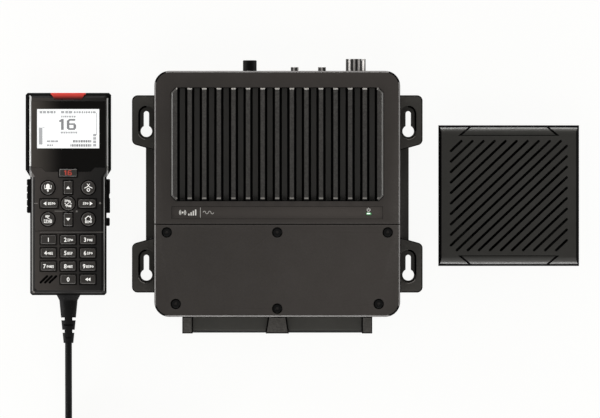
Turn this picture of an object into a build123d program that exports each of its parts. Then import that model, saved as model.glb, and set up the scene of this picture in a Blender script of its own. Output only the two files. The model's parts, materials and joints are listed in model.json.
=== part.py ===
"""A marine radio set: a wall-mounted black-box transceiver, a wired handset and an extension speaker.

The three units lie on their backs on one plane, z = 0, with their faces up (+Z) and their tops
towards +Y. The origin is the centre of the transceiver's four wall-screw holes, on its back plane.
All sizes are in millimetres.
"""

import math
import os

from build123d import *

# ---------------------------------------------------------------- shared fits
SLIP = 0.3        # gap round a moving button or a cover's edge
SNUG = 0.15       # gap round a piece that is located but doesn't move
SCREW_SLIP = 0.1  # gap round a screw's shank
PIVOT_SLIP = 0.05  # radial clearance of a pivot stub in its hole
FAR = 400.0       # longer than any unit, for cutting tools
CROSS_REACH = 1.2   # cross recess of a small screw, length over the head's radius
CROSS_WIDTH = 0.3   # and width over the head's radius

# ---------------------------------------------------------------- transceiver
BODY_W = 196.5         # across, X
BODY_L = 196.6         # along, Y
BODY_Y = 7.3           # the body's centre above the screw pattern's centre
BODY_CORNER = 12.0     # corner radius in plan
PLATE_T = 4.0          # mounting plate
EAR_T = 8.0            # its four ears
EAR_REACH = 18.25      # ear's outer edge beyond the body's side
EAR_X = BODY_W / 2 + EAR_REACH
EAR_END_INSET = 19.2   # ear's outer end below the body's end
EAR_FAR_Y = BODY_L / 2 - EAR_END_INSET
EAR_L = 44.1           # ear's length along the body's side
EAR_NEAR_Y = EAR_FAR_Y - EAR_L
EAR_SLANT = 5.1        # how far the slanted edge falls across the ear
EAR_CORNER = 4.5
STRIP_REACH = 7.15     # plate's edge between the ears, beyond the body's side
STRIP_X = BODY_W / 2 + STRIP_REACH
HOLE_REACH = 6.75      # wall holes beyond the body's side
HOLE_X = BODY_W / 2 + HOLE_REACH
HOLE_INSET = 21.5      # wall holes below the ear's outer end, less the centres' offset
HOLE_Y = EAR_FAR_Y - HOLE_INSET
HOLE_R = 4.6           # keyhole's round end
SLOT_R = 2.1           # keyhole's slot, half its width
SLOT_RISE = 14.0       # from the round end's centre to the slot's end centre
POCKET_R = 6.5         # pocket round the keyhole
POCKET_DEPTH = 3.5
CHASSIS_H = 38.0
CHASSIS_WALL = 3.0
CHASSIS_FLOOR = 3.0
SEAL_T = 1.0
SEAL_INSET = 0.8
COVER_H = 13.0
COVER_WALL = 3.0
COVER_EDGE = 1.3       # bevel round the covers' front edge
CABLE_COVER_L = 74.0   # from the body's lower end to the seam between the covers
SPLIT_Y = BODY_Y - BODY_L / 2 + CABLE_COVER_L
SPLIT_GAP = 0.6
FIN_COUNT = 13         # full fins, besides the half fin at each side
FIN_TOP = 3.7          # width of a fin's top
FIN_FLOOR = 4.6        # width of a groove's floor
FIN_DEPTH = 8.5
FIN_PROUD = 1.6        # fins above the cover's face
FIN_BEVEL = 1.3
SINK_SIDE_MARGIN = 13.35  # from the body's side to the finned block
SINK_HALF_W = BODY_W / 2 - SINK_SIDE_MARGIN
EDGE_FIN = 5.13        # width of the two outermost fins
FIN_PITCH = (2 * (SINK_HALF_W - EDGE_FIN) + FIN_TOP) / (FIN_COUNT + 1)
SINK_TOP_MARGIN = 13.6
SINK_TOP_Y = BODY_Y + BODY_L / 2 - SINK_TOP_MARGIN
SINK_FOOT_MARGIN = 18.8  # from the seam to the finned block
SINK_BOTTOM_Y = SPLIT_Y + SINK_FOOT_MARGIN
SINK_CORNER = 4.0      # 45 degree corner of the finned block
SINK_LIP = 4.0         # flange under the cover, all round
SINK_BASE = 6.0        # metal below the groove floors
LABEL_MARGIN = 0.6     # label strip inside the finned block's sides
LABEL_HALF_W = SINK_HALF_W - LABEL_MARGIN
LABEL_GAP = 4.6        # from the finned block to the label strip
LABEL_TOP_Y = SINK_BOTTOM_Y - LABEL_GAP
LABEL_H = 9.9
LABEL_BOTTOM_Y = LABEL_TOP_Y - LABEL_H
LABEL_DEPTH = 0.5
LAMP_INSET = 11.1      # from the label strip's end
LAMP_X = LABEL_HALF_W - LAMP_INSET
LAMP_RISE = 4.1        # from the label strip's lower edge
LAMP_Y = LABEL_BOTTOM_Y + LAMP_RISE
LAMP_W = 4.4
LAMP_H = 2.0
LAMP_T = 5.0
SCREW_SEAM_GAP = 6.5   # upper row of cover screws below the seam
SCREW_SIDE_GAP = 9.95  # upper row's outer screws from the body's side
SCREW_LOW_SIDE_GAP = 17.15
SCREW_LOW_GAP = 10.3   # lower row's outer screws above the body's lower end
SCREW_MIDDLE_GAP = 6.6  # lower row's middle screw above that end
SCREW_HEAD_R = 3.8
SCREW_HEAD_H = 1.8
SCREW_SINK = 2.2       # depth of the counterbore for the head
SCREW_DOME = 1.0       # rounding of the button heads
SCREW_HEX = 2.5        # across the flats of the socket
SCREW_HEX_DEPTH = 1.3
SCREW_R = 2.0
SCREW_L = 22.0
BOSS_R = 4.2
PLATE_SCREW_SIDE = 20.25  # plate screws from the body's side
PLATE_SCREW_X = BODY_W / 2 - PLATE_SCREW_SIDE
PLATE_SCREW_END = 36.3   # and from its ends
PLATE_SCREW_Y = BODY_L / 2 - PLATE_SCREW_END
PLATE_SCREW_HEAD_R = 4.0
DRIVER_SLOT = 1.0      # width and depth of the plate screws' driver slot
BOARD_SIDE = 14.25     # from the body's side to the board
BOARD_W = BODY_W - 2 * BOARD_SIDE
BOARD_MARGIN = 2.0     # from the board's ends to the bulkhead and to the sockets
BOARD_T = 1.6
BOARD_LIFT = 22.0      # standoffs' height over the chassis floor
STANDOFF_R = 4.0
STANDOFF_INSET = 9.0
AMPLIFIER_SIZE = (60.0, 34.0)
TERMINAL_SIZE = (96.0, 22.0, 20.0)
TRAY_SIDE = 22.25      # cable tray below the body, from the body's side
TRAY_HALF_W = BODY_W / 2 - TRAY_SIDE
TRAY_REACH = 12.8
TRAY_H = 38.0
TRAY_RIB_W = 8.2
TRAY_RIB_PROUD = 0.6
POST_TOP_W = 14.0
POST_FOOT_W = 18.4
GROMMET_H = 34.0
GROMMET_EDGE = 2.5
GROMMET_CORE_R = 5.0   # blind knock-outs for the cables
GROMMET_CORE_DEPTH = 2.0
CABLE_HOLE_R = 5.5
CABLE_SIDE = 22.0      # outermost cable hole from the tray's side
CABLE_PITCH = 16.0
CABLES_A_SIDE = 3
CABLE_Z = 20.0

SOCKET_Z = 26.0        # connectors' height on the top wall
ANTENNA_SIDE = 35.45    # antenna socket from the body's side
ANTENNA_X = BODY_W / 2 - ANTENNA_SIDE
ANTENNA_R = 7.94
ANTENNA_L = 9.7
ANTENNA_BORE_R = 6.2
ANTENNA_FLANGE = 25.4
ANTENNA_FLANGE_T = 1.6
ANTENNA_NOTCH = 2.4
ANTENNA_TUBE_R = 5.0
CONTACT_R = 2.4
CONTACT_BORE_R = 1.9
SMALL_SOCKET_X = [ANTENNA_X - 48.8, ANTENNA_X - 27.0]
SMALL_SOCKET_R = 3.15
SMALL_SOCKET_L = 3.2
SMALL_SOCKET_BORE_R = 2.3
NECK_STEP = 0.4        # round sockets' necks are narrower than their barrels
SMALL_CONTACT_R = 0.6
DATA_GAP = 36.0         # data socket from the nearest small socket
DATA_X = SMALL_SOCKET_X[0] - DATA_GAP
DATA_R = 4.4
DATA_L = 6.6
DATA_BORE_R = 3.4
CAP_R = 5.5
CAP_L = 8.7
CAP_EDGE = 0.8
SOCKET_TAIL = 12.0     # length of each socket inside the top wall's face
SOCKET_FLANGE = 2.0    # flange of each small socket, beyond its barrel and in thickness
BORE_FLOOR = 1.0       # metal left under the antenna socket's bore
CONTACT_SET_BACK = 1.0  # contacts below the sockets' rims

# ---------------------------------------------------------------- handset
HS_X = -167.4
HS_TOP = 88.2
HS_WAIST_TOP = 26.6
HS_WAIST_BOTTOM = 20.8
HS_BOTTOM = -73.8
HS_HEAD_HALF = 34.15
HS_GRIP_HALF = 30.5
REAR_H = 17.0
REAR_BEVEL = 2.2
REAR_BEVEL_H = 5.0
REAR_FLOOR = 2.5
REAR_WALL = 3.2
FRONT_H = 15.0
FRONT_SLOPE = 2.4      # inward lean of the front shell's flank
FRONT_SLOPE_H = 7.0
FACE_BEVEL = 1.6
FACE_BEVEL_H = 1.0
FRONT_WALL = 4.4       # flank of the front shell at the seam
FACE_T = 2.0
HS_CORNER = 1.6        # cut corners of the outline
LENS_MARGIN = 4.75     # from the head's side to the window pane
LENS_HALF = HS_HEAD_HALF - LENS_MARGIN
LENS_TOP_MARGIN = 6.6
LENS_TOP = HS_TOP - LENS_TOP_MARGIN
LENS_FOOT_MARGIN = 1.8  # from the waist to the pane's lower edge at the sides
LENS_SIDE_Y = HS_WAIST_TOP + LENS_FOOT_MARGIN
LENS_DROP = 3.4        # how much lower the edge is across the middle
LENS_MID_Y = LENS_SIDE_Y - LENS_DROP
LENS_STEP_IN = (8.2, 11.4)  # from the pane's side to the slanted step's two ends
LENS_T = 1.2
WINDOW_MARGIN = 4.5    # pane's side to the display's window
WINDOW_HALF = LENS_HALF - WINDOW_MARGIN
WINDOW_TOP_MARGIN = 6.4
WINDOW_FOOT_MARGIN = 15.4
WINDOW_Y = (LENS_SIDE_Y + WINDOW_FOOT_MARGIN, LENS_TOP - WINDOW_TOP_MARGIN)
SCREEN_EDGE = 3.0      # display module beyond the window, at the sides and below
SCREEN_TOP_EDGE = 0.6  # and above
HS_BOARD_Z = 24.4
HS_BOARD_T = 1.6
HS_BOARD_INSET = 4.6
KEY_PROUD = 1.0
KEY_TRAVEL = 0.6
KEY_FLANGE = 0.7       # flange beyond the key's cap
KEY_FLANGE_T = 1.2
ROUND_KEY_R = 5.35
KEY_COLUMN_GAP = 3.6   # between the number keys, across
KEY_ROW_GAP = 3.4      # and along
ARROW_KEY = (6.7, 10.2)
SIDE_KEY_MARGIN = 15.3  # side keys' middles from the grip's side
SIDE_KEY_DX = HS_GRIP_HALF - SIDE_KEY_MARGIN
SIDE_KEY_GAP = 2.9     # from the centre key to the side keys
SIDE_KEY = (2 * (SIDE_KEY_DX - ROUND_KEY_R - SIDE_KEY_GAP), 6.6)
RED_KEY = (14.0, 5.8)
NAV_MARGIN = 14.3      # round keys' middles from the grip's side
NAV_DX = HS_GRIP_HALF - NAV_MARGIN
NAV_DY = 12.6          # nav rows, above and below the centre key
RED_KEY_DROP = 0.8     # red key's middle below the pane's edge
RED_KEY_Y = LENS_MID_Y - RED_KEY_DROP
NAV_DROP = 24.6        # centre key below the red key
NAV_Y = RED_KEY_Y - NAV_DROP
NUMBER_DROP = 28.9     # first number row below the centre key
NUMBER_TOP_Y = NAV_Y - NUMBER_DROP
NUMBER_FOOT = 12.7     # last number row above the handset's foot
NUMBER_ROWS = 4
NUMBER_DY = (NUMBER_TOP_Y - HS_BOTTOM - NUMBER_FOOT) / (NUMBER_ROWS - 1)
NUMBER_MARGIN = 14.7   # outer number keys' middles from the grip's side
NUMBER_DX = HS_GRIP_HALF - NUMBER_MARGIN
NUMBER_KEY = (NUMBER_DX - KEY_COLUMN_GAP, NUMBER_DY - KEY_ROW_GAP)
SEAM_RISE = 6.9        # line between the two key groups, above the first number row
SEAM_Y = NUMBER_TOP_Y + SEAM_RISE
SEAM_W = 0.5
MIC_SLOTS = 3
MIC_SLOT_L = 9.0
MIC_SLOT_W = 1.8
MIC_PITCH = 3.6
SIDE_Z = (6.5, 15.5)   # side keys, low and high
PTT_L = 27.2           # push-to-talk key and volume rocker
PTT_DROP = 1.6         # below the waist
PTT_Y = (HS_WAIST_BOTTOM - PTT_DROP - PTT_L, HS_WAIST_BOTTOM - PTT_DROP)
PTT_TRAVEL = 1.2
GRIP_PROUD = 1.6       # side keys above the flank when they are pressed home
PTT_GRIPS = 5
RIB_RISE = 0.6         # ribs above a side key's face
RIB_GAP = 0.5
RIB_BEVEL = 0.5
SMALL_BUTTON_GAP = 3.8
SMALL_BUTTON_L = 6.6
SMALL_BUTTON_Y = (PTT_Y[0] - SMALL_BUTTON_GAP - SMALL_BUTTON_L, PTT_Y[0] - SMALL_BUTTON_GAP)
SMALL_BUTTON_TRAVEL = 1.0
ROCKER_PROUD = 2.8
ROCKER_SLIP = 0.6      # gap round the rocker, wider because it tilts
ROCKER_DIP = 3.0       # bare middle between the rocker's two pads
ROCKER_STUB_R = 1.0
ROCKER_STUB_L = 1.0
FLANGE_T = 1.4         # retaining flange behind a side key
FLANGE_OVER = 1.6      # how far it reaches past the opening
HOOD_HALF = 14.2       # recess for the distress cover, half its width
HOOD_DEPTH = 7.5
HOOD_Z = (9.0, 29.0)
HOOD_PAD = 3.5         # wall round the recess
FLAP_T = 2.2
FLAP_LIP_Y = 5.4       # how far the lip comes onto the face
FLAP_LIP_HALF = (10.8, 13.9)
FLAP_LIP_T = 2.6
FLAP_BARREL_R = 1.6
FLAP_BARREL_Z = 11.4
FLAP_STUB_R = 0.8
FLAP_STUB_L = 1.5
DISTRESS_R = 4.4
DISTRESS_Z = 20.0
DISTRESS_PROUD = 3.0
DISTRESS_TRAVEL = 1.0
DISTRESS_FLANGE = 1.0  # flange beyond the button, inside its wall
DISTRESS_FLANGE_T = 1.2
HS_SCREW_SIDE = 6.5    # screws from the grip's side
HS_SCREW_TOP = 8.6     # from the handset's top
HS_SCREW_FOOT = 5.4    # and from its foot
HS_SCREW_X = HS_GRIP_HALF - HS_SCREW_SIDE
HS_SCREW_Y = [HS_TOP - HS_SCREW_TOP, HS_BOTTOM + HS_SCREW_FOOT]
HS_SCREW_R = 1.3
HS_SCREW_HEAD_R = 2.2
HS_SCREW_HEAD_H = 1.6
HS_SCREW_SUNK = 0.2    # heads below the back's face
HS_BOSS_R = 2.8
EARPIECE_R = 15.0
EARPIECE_T = 7.0
EARPIECE_DROP = 38.2   # from the handset's top
EARPIECE_Y = HS_TOP - EARPIECE_DROP
EAR_SLOTS = 7
EAR_SLOT_W = 1.6
EAR_SLOT_PITCH = 3.4
LUG_Y = -20.0
LUG_POCKET_R = 11.0
LUG_POCKET_DEPTH = 5.6
LUG_NECK_R = 3.4
LUG_HEAD_R = 6.6
LUG_HEAD_T = 2.0
LUG_TIP_Z = 0.6
GLAND_Z = 12.0
GLAND_SEAT_R = 4.0
GLAND_FLANGE = 0.8     # gland's flange beyond its seat, inside the foot wall
GLAND_FLANGE_T = 2.0
RELIEF_L = 38.4
# bend relief's steps: distance from the handset, radius
RELIEF_STEPS = [(0.0, 9.5), (4.2, 7.3), (16.8, 6.1), (RELIEF_L, 3.9)]
RELIEF_FLAT = 0.82     # height of the relief over its width
RELIEF_SPINE = 3.1     # half the spine left between the slots
RELIEF_SLOTS = [(18.0, 20.2), (27.8, 30.2)]
RELIEF_TOP_SLOTS = [(23.2, 24.6), (33.0, 34.4)]

# ---------------------------------------------------------------- handset cord
CORD_R = 2.75
COIL_RUN_R = 36.25     # middle of the outermost turn
COIL_X = HS_X + COIL_RUN_R
COIL_Y = -217.0
COIL_OUTER_R = COIL_RUN_R + CORD_R
COIL_INNER_R = 18.7
COIL_LAYERS = 2
CORD_ROUTE = [
    (HS_X, HS_BOTTOM - RELIEF_L, GLAND_Z),
    (HS_X, -132.0, GLAND_Z),
    (HS_X, -156.0, 4.6),
    (HS_X, -180.0, CORD_R),
    (HS_X, -203.0, CORD_R),
]
TAIL_TURN = -45.0      # where the cord's end leaves the coil, degrees round it from +X
TAIL_ROUTE = [(0.0, 0.0, 8.25), (14.0, 0.9, 9.0), (31.0, 0.9, 9.0)]  # along, outward, height
PLUG_R = 8.0
PLUG_NUT_R = 9.0
PLUG_L = 34.0
PLUG_NUT_L = 16.0

# ---------------------------------------------------------------- extension speaker
SPK_X = 185.2
SPK_Y = 5.9
SPK_W = 112.4
SPK_L = 112.6
SPK_H = 44.0
BEZEL_H = 25.0
BEZEL_WALL = 2.5
BEZEL_FRONT = 3.0
BEZEL_ROLL = 7.5       # rolled edges along the top and the bottom
BEZEL_SIDE = 2.4       # bevel on the other two edges
GRILLE_SIDE = 9.2       # from the speaker's sides to the slots
GRILLE_END = 12.0       # and from its ends
GRILLE_HALF = (SPK_W / 2 - GRILLE_SIDE, SPK_L / 2 - GRILLE_END)
GRILLE_PITCH = 6.08
GRILLE_SLOT_W = 2.0
GRILLE_ANGLE = 43.5
GRILLE_COUNT = 20
BAND_TOP_SIDE = 25.7    # shallow band on each rolled edge: from the speaker's side, at the rim
BAND_FOOT_SIDE = 15.7   # and where it meets the grille
BAND_REACH = 8.4
BAND_DEPTH = 0.5
TUB_MARGIN = 12.2        # from the bezel's sides to the tub
TUB_W = SPK_W - 2 * TUB_MARGIN
TUB_CORNER = 10.0
TUB_WALL = 3.0
SPK_CABLE_HOLE_R = 2.9
FLANGE_H = 3.0
DRIVER_MARGIN = 4.0     # from the tub's side to the driver's hole
DRIVER_HOLE_R = TUB_W / 2 - DRIVER_MARGIN
SPK_SCREW_INSET = 7.2   # screws from the speaker's sides
SPK_SCREW_R = 1.6
SPK_SCREW_HEAD_R = 2.8
SPK_SCREW_HEAD_H = 1.8
SPK_SCREW_L = 14.0
SPK_BOSS_R = 3.2
DRIVER_RIM = 3.5        # driver's rim beyond its hole
DRIVER_R = DRIVER_HOLE_R + DRIVER_RIM
RIM_T = 2.0
MAGNET_R = 21.0
MAGNET_H = 7.0
BASKET_DEPTH = 8.0     # from the flange's front to the magnet's plate
CONE_MARGIN = 5.0       # cone inside the driver's hole
CONE_R = DRIVER_HOLE_R - CONE_MARGIN
CONE_SKIN = 0.8
VOICE_R = 9.0          # voice coil
VOICE_GAP = 1.5        # and the gap on each side of it
POLE_FOOT = 2.0

# heights that follow from the sizes above
CHASSIS_Z0 = PLATE_T
CHASSIS_Z1 = CHASSIS_Z0 + CHASSIS_H
COVER_Z0 = CHASSIS_Z1 + SEAL_T
COVER_Z1 = COVER_Z0 + COVER_H
FIN_Z = COVER_Z1 + FIN_PROUD
BODY_TOP = BODY_Y + BODY_L / 2
BODY_BOTTOM = BODY_Y - BODY_L / 2
BOARD_Z = CHASSIS_Z0 + CHASSIS_FLOOR + BOARD_LIFT
SINK_BOTTOM_Z = FIN_Z - FIN_DEPTH - SINK_BASE
FACE_Z = REAR_H + FRONT_H
KEY_SEAT_Z = FACE_Z - FACE_T
HS_BOARD_TOP = HS_BOARD_Z + HS_BOARD_T
BEZEL_Z0 = SPK_H - BEZEL_H

SCREW_X = BODY_W / 2 - SCREW_SIDE_GAP
SCREW_LOW_X = BODY_W / 2 - SCREW_LOW_SIDE_GAP
COVER_SCREWS = [(x, SPLIT_Y - SCREW_SEAM_GAP) for x in (-SCREW_X, 0, SCREW_X)]
COVER_SCREWS += [(x, BODY_BOTTOM + SCREW_LOW_GAP) for x in (-SCREW_LOW_X, SCREW_LOW_X)]
COVER_SCREWS += [(0, BODY_BOTTOM + SCREW_MIDDLE_GAP)]
CABLE_ROW = [TRAY_HALF_W - CABLE_SIDE - n * CABLE_PITCH for n in range(CABLES_A_SIDE)]
CABLE_X = [side * x for side in (-1, 1) for x in CABLE_ROW]

parts = {}


def prism(face, low, high):
    """The sketch, drawn on XY, as a solid from z = low to z = high."""
    return extrude(Pos(0, 0, low) * face, amount=high - low)


def block(x, y, z):
    """A box from three (low, high) pairs."""
    size = [b - a for a, b in (x, y, z)]
    return Pos(*[(a + b) / 2 for a, b in (x, y, z)]) * Box(*size)


def disc(x, y, radius, low, high):
    """A round bar along Z."""
    return prism(Pos(x, y) * Circle(radius), low, high)


def bar_y(x, z, radius, low, high):
    """A round bar along Y, from y = low to y = high."""
    return Pos(x, (low + high) / 2, z) * Rot(90, 0, 0) * Cylinder(radius, high - low)


def bar_x(y, z, radius, low, high):
    """A round bar along X, from x = low to x = high."""
    return Pos((low + high) / 2, y, z) * Rot(0, 90, 0) * Cylinder(radius, high - low)


def polygon(points):
    """A flat face from a closed list of points."""
    return make_face(Polyline(*points, close=True))


def cross_recess(x, y, z, head_r):
    """The cross cut into a small screw's head, whose face is at height z."""
    reach = CROSS_REACH * head_r
    width = CROSS_WIDTH * head_r
    return Pos(x, y, z) * (Box(reach, width, head_r) + Box(width, reach, head_r))


def above(y):
    """Everything with a greater y, as a cutting block."""
    return block((-FAR, FAR), (y, FAR), (-FAR, FAR))


def below(y):
    """Everything with a smaller y, as a cutting block."""
    return block((-FAR, FAR), (-FAR, y), (-FAR, FAR))


# ---------------------------------------------------------------- transceiver
def body_plan(inset):
    """The transceiver's outline in plan, drawn in by inset."""
    corner = max(BODY_CORNER - inset, 1.0)
    return Pos(0, BODY_Y) * RectangleRounded(BODY_W - 2 * inset, BODY_L - 2 * inset, corner)


def keyhole_plan(x, y, round_r, slot_r):
    """A keyhole: a round end at (x, y) and a slot that rises from it."""
    slot = Pos(x, y + SLOT_RISE / 2) * Rectangle(2 * slot_r, SLOT_RISE)
    return (Pos(x, y) * Circle(round_r)) + slot + (Pos(x, y + SLOT_RISE) * Circle(slot_r))


def ear_plan(side, end):
    """One ear in plan. side is -1 or 1 in X, and end is -1 or 1 in Y from the body's middle."""
    inner = (BODY_W / 2 - EAR_CORNER) * side
    far = BODY_Y + end * EAR_FAR_Y
    near = BODY_Y + end * EAR_NEAR_Y
    outer_near = near + end * EAR_SLANT
    shape = polygon([(inner, far), (side * EAR_X, far), (side * EAR_X, outer_near),
                     (side * BODY_W / 2, near), (inner, near)])
    corners = [v for v in shape.vertices() if abs(v.X) > EAR_X - 1]
    return fillet(corners, EAR_CORNER)


def mounting_plate():
    """Back plate with four keyhole ears, side strips and the ribbed cable tray."""
    strip_x = (-STRIP_X, STRIP_X)
    strip_half_l = EAR_NEAR_Y + EAR_SLANT
    plate = block(strip_x, (BODY_Y - strip_half_l, BODY_Y + strip_half_l), (0, PLATE_T))
    middle = BODY_W / 2 - EAR_CORNER / 2
    plate += block((-middle, middle), (BODY_Y - EAR_FAR_Y, BODY_Y + EAR_FAR_Y), (0, PLATE_T))
    for side in (-1, 1):
        for end in (-1, 1):
            ear = prism(ear_plan(side, end), 0, EAR_T)
            inside = BODY_W / 2 + SNUG
            ear -= block((-inside, inside), (-FAR, FAR), (PLATE_T, EAR_T))
            plate += ear
    tray_end = BODY_BOTTOM - TRAY_REACH
    plate += block((-TRAY_HALF_W, TRAY_HALF_W), (tray_end, BODY_Y - EAR_FAR_Y), (0, PLATE_T))
    rib_end = tray_end - TRAY_RIB_PROUD
    rib_start = BODY_BOTTOM - SNUG
    for side in (-1, 1):
        rib_x = sorted((side * TRAY_HALF_W, side * (TRAY_HALF_W - TRAY_RIB_W)))
        plate += block(rib_x, (rib_end, rib_start), (0, TRAY_H))
    plate += prism(post_plan(0, rib_start, rib_end), 0, TRAY_H)
    for side in (-1, 1):
        for y in (-HOLE_Y, HOLE_Y):
            hole = keyhole_plan(side * HOLE_X, y, HOLE_R, SLOT_R)
            pocket = keyhole_plan(side * HOLE_X, y, POCKET_R, POCKET_R)
            plate -= prism(hole, 0, EAR_T)
            plate -= prism(pocket, EAR_T - POCKET_DEPTH, EAR_T)
            plate -= disc(side * PLATE_SCREW_X, BODY_Y + math.copysign(PLATE_SCREW_Y, y),
                          SCREW_R + SCREW_SLIP, 0, PLATE_T)
            plate -= plate_screw_head(side, math.copysign(1, y), SCREW_SLIP)
    return plate


def post_plan(gap, top, foot):
    """The tray's middle post in plan, grown by gap on each flank."""
    top_half = POST_TOP_W / 2 + gap
    foot_half = POST_FOOT_W / 2 + gap
    return polygon([(-top_half, top), (top_half, top), (foot_half, foot), (-foot_half, foot)])


def plate_screw_head(side, end, gap):
    """The countersunk head of a plate screw, grown by gap."""
    x = side * PLATE_SCREW_X
    y = BODY_Y + end * PLATE_SCREW_Y
    depth = PLATE_SCREW_HEAD_R - SCREW_R
    return Pos(x, y, depth / 2) * Cone(PLATE_SCREW_HEAD_R + gap, SCREW_R + gap, depth)


def plate_screws():
    """Four countersunk screws that hold the plate to the chassis."""
    screws = Part()
    for side in (-1, 1):
        for end in (-1, 1):
            x = side * PLATE_SCREW_X
            y = BODY_Y + end * PLATE_SCREW_Y
            shank = disc(x, y, SCREW_R, 0, CHASSIS_Z0 + CHASSIS_FLOOR + STANDOFF_R)
            screw = shank + plate_screw_head(side, end, 0)
            slot = Pos(x, y, 0) * Box(PLATE_SCREW_HEAD_R, DRIVER_SLOT, DRIVER_SLOT)
            screws += screw - slot
    return screws


def board_span():
    """The main board's lower and upper edge, between the bulkhead and the sockets."""
    low = SPLIT_Y + CHASSIS_WALL / 2 + BOARD_MARGIN
    high = BODY_TOP - SOCKET_TAIL - BOARD_MARGIN
    return low, high


def board_corners():
    """The four standoff centres of the main board."""
    low, high = board_span()
    half_w = BOARD_W / 2 - STANDOFF_INSET
    return [(side * half_w, y) for side in (-1, 1) for y in (low + STANDOFF_INSET, high - STANDOFF_INSET)]


def rear_chassis():
    """Die-cast tray with a bulkhead between the electronics and the cable bay."""
    tray = prism(body_plan(0), CHASSIS_Z0, CHASSIS_Z1)
    bay = prism(body_plan(CHASSIS_WALL), CHASSIS_Z0 + CHASSIS_FLOOR, CHASSIS_Z1)
    tray -= bay & above(SPLIT_Y + CHASSIS_WALL / 2)
    tray -= bay & below(SPLIT_Y - CHASSIS_WALL / 2)
    floor = CHASSIS_Z0 + CHASSIS_FLOOR
    for x, y in board_corners():
        tray += disc(x, y, STANDOFF_R, floor, BOARD_Z)
    inner = prism(body_plan(0), CHASSIS_Z0, CHASSIS_Z1)
    for x, y in COVER_SCREWS:
        tray += disc(x, y, BOSS_R, floor, CHASSIS_Z1) & inner
    for x, y in COVER_SCREWS:
        tray -= disc(x, y, SCREW_R + SCREW_SLIP, COVER_Z1 - SCREW_SINK - SCREW_L - 1, CHASSIS_Z1)
    for side in (-1, 1):
        for end in (-1, 1):
            x = side * PLATE_SCREW_X
            y = BODY_Y + end * PLATE_SCREW_Y
            tray += disc(x, y, BOSS_R, floor, floor + STANDOFF_R + CHASSIS_FLOOR)
            tray -= disc(x, y, SCREW_R + SCREW_SLIP, CHASSIS_Z0, floor + STANDOFF_R + 1)
    wall = (BODY_TOP - CHASSIS_WALL, BODY_TOP)
    for x, radius in socket_holes():
        tray -= bar_y(x, SOCKET_Z, radius + SNUG, *wall)
    for x in CABLE_X:
        tray -= bar_y(x, CABLE_Z, CABLE_HOLE_R, BODY_BOTTOM, BODY_BOTTOM + CHASSIS_WALL)
    return tray


def socket_holes():
    """Centre and radius of each connector's hole in the top wall."""
    holes = [(ANTENNA_X, ANTENNA_TUBE_R), (DATA_X, DATA_R - NECK_STEP)]
    return holes + [(x, SMALL_SOCKET_R - NECK_STEP) for x in SMALL_SOCKET_X]


def cover_seal():
    """Rubber cord between the chassis and both covers, with a bar along the bulkhead."""
    ring = prism(body_plan(SEAL_INSET), CHASSIS_Z1, COVER_Z0)
    hollow = prism(body_plan(CHASSIS_WALL - SEAL_INSET), CHASSIS_Z1, COVER_Z0)
    half_bar = CHASSIS_WALL / 2
    ring -= hollow & above(SPLIT_Y + half_bar)
    ring -= hollow & below(SPLIT_Y - half_bar)
    return ring


def cover_blank():
    """Both covers in one piece, before the seam: the outer form with its bevel."""
    blank = prism(body_plan(0), COVER_Z0, COVER_Z1)
    rim = blank.edges().group_by(Axis.Z)[-1]
    return chamfer(rim, COVER_EDGE)


def sink_plan(grow):
    """The finned block's outline in plan, with cut corners."""
    half = SINK_HALF_W + grow
    low = SINK_BOTTOM_Y - grow
    high = SINK_TOP_Y + grow
    cut = SINK_CORNER
    return polygon([(-half + cut, low), (half - cut, low), (half, low + cut), (half, high - cut),
                    (half - cut, high), (-half + cut, high), (-half, high - cut), (-half, low + cut)])


def top_cover():
    """Front cover over the electronics, open for the heat sink."""
    cover = cover_blank() & above(SPLIT_Y + SPLIT_GAP / 2)
    cavity = prism(body_plan(COVER_WALL), COVER_Z0, COVER_Z1 - COVER_WALL)
    cover -= cavity & above(SPLIT_Y + SPLIT_GAP / 2 + COVER_WALL)
    cover -= prism(sink_plan(SLIP), COVER_Z0, COVER_Z1)
    label = ((-LABEL_HALF_W, LABEL_HALF_W), (LABEL_BOTTOM_Y, LABEL_TOP_Y))
    cover -= block(*label, (COVER_Z1 - LABEL_DEPTH, COVER_Z1))
    lamp = Pos(LAMP_X, LAMP_Y) * SlotOverall(LAMP_W + 2 * SNUG, LAMP_H + 2 * SNUG)
    cover -= prism(lamp, COVER_Z0, COVER_Z1)
    return cover


def cable_cover():
    """Lower cover over the cable bay, held by six screws."""
    cover = cover_blank() & below(SPLIT_Y - SPLIT_GAP / 2)
    cavity = prism(body_plan(COVER_WALL), COVER_Z0, COVER_Z1 - COVER_WALL)
    cover -= cavity & below(SPLIT_Y - SPLIT_GAP / 2 - COVER_WALL)
    outer = prism(body_plan(COVER_EDGE), COVER_Z0, COVER_Z1) & below(SPLIT_Y - SPLIT_GAP / 2)
    for x, y in COVER_SCREWS:
        cover += disc(x, y, BOSS_R, COVER_Z0, COVER_Z1 - COVER_WALL) & outer
    for x, y in COVER_SCREWS:
        cover -= disc(x, y, SCREW_R + SCREW_SLIP, COVER_Z0, COVER_Z1)
        cover -= disc(x, y, SCREW_HEAD_R + SLIP, COVER_Z1 - SCREW_SINK, COVER_Z1)
    return cover


def cover_screws():
    """Six button-head screws with hexagon sockets."""
    seat = COVER_Z1 - SCREW_SINK
    screws = Part()
    for x, y in COVER_SCREWS:
        head = disc(x, y, SCREW_HEAD_R, seat, seat + SCREW_HEAD_H)
        head = fillet(head.edges().group_by(Axis.Z)[-1], SCREW_DOME)
        socket = Pos(x, y) * RegularPolygon(SCREW_HEX / math.sqrt(3), 6)
        head -= prism(socket, seat + SCREW_HEAD_H - SCREW_HEX_DEPTH, seat + SCREW_HEAD_H)
        screws += head + disc(x, y, SCREW_R, seat - SCREW_L, seat)
    return screws


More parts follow.
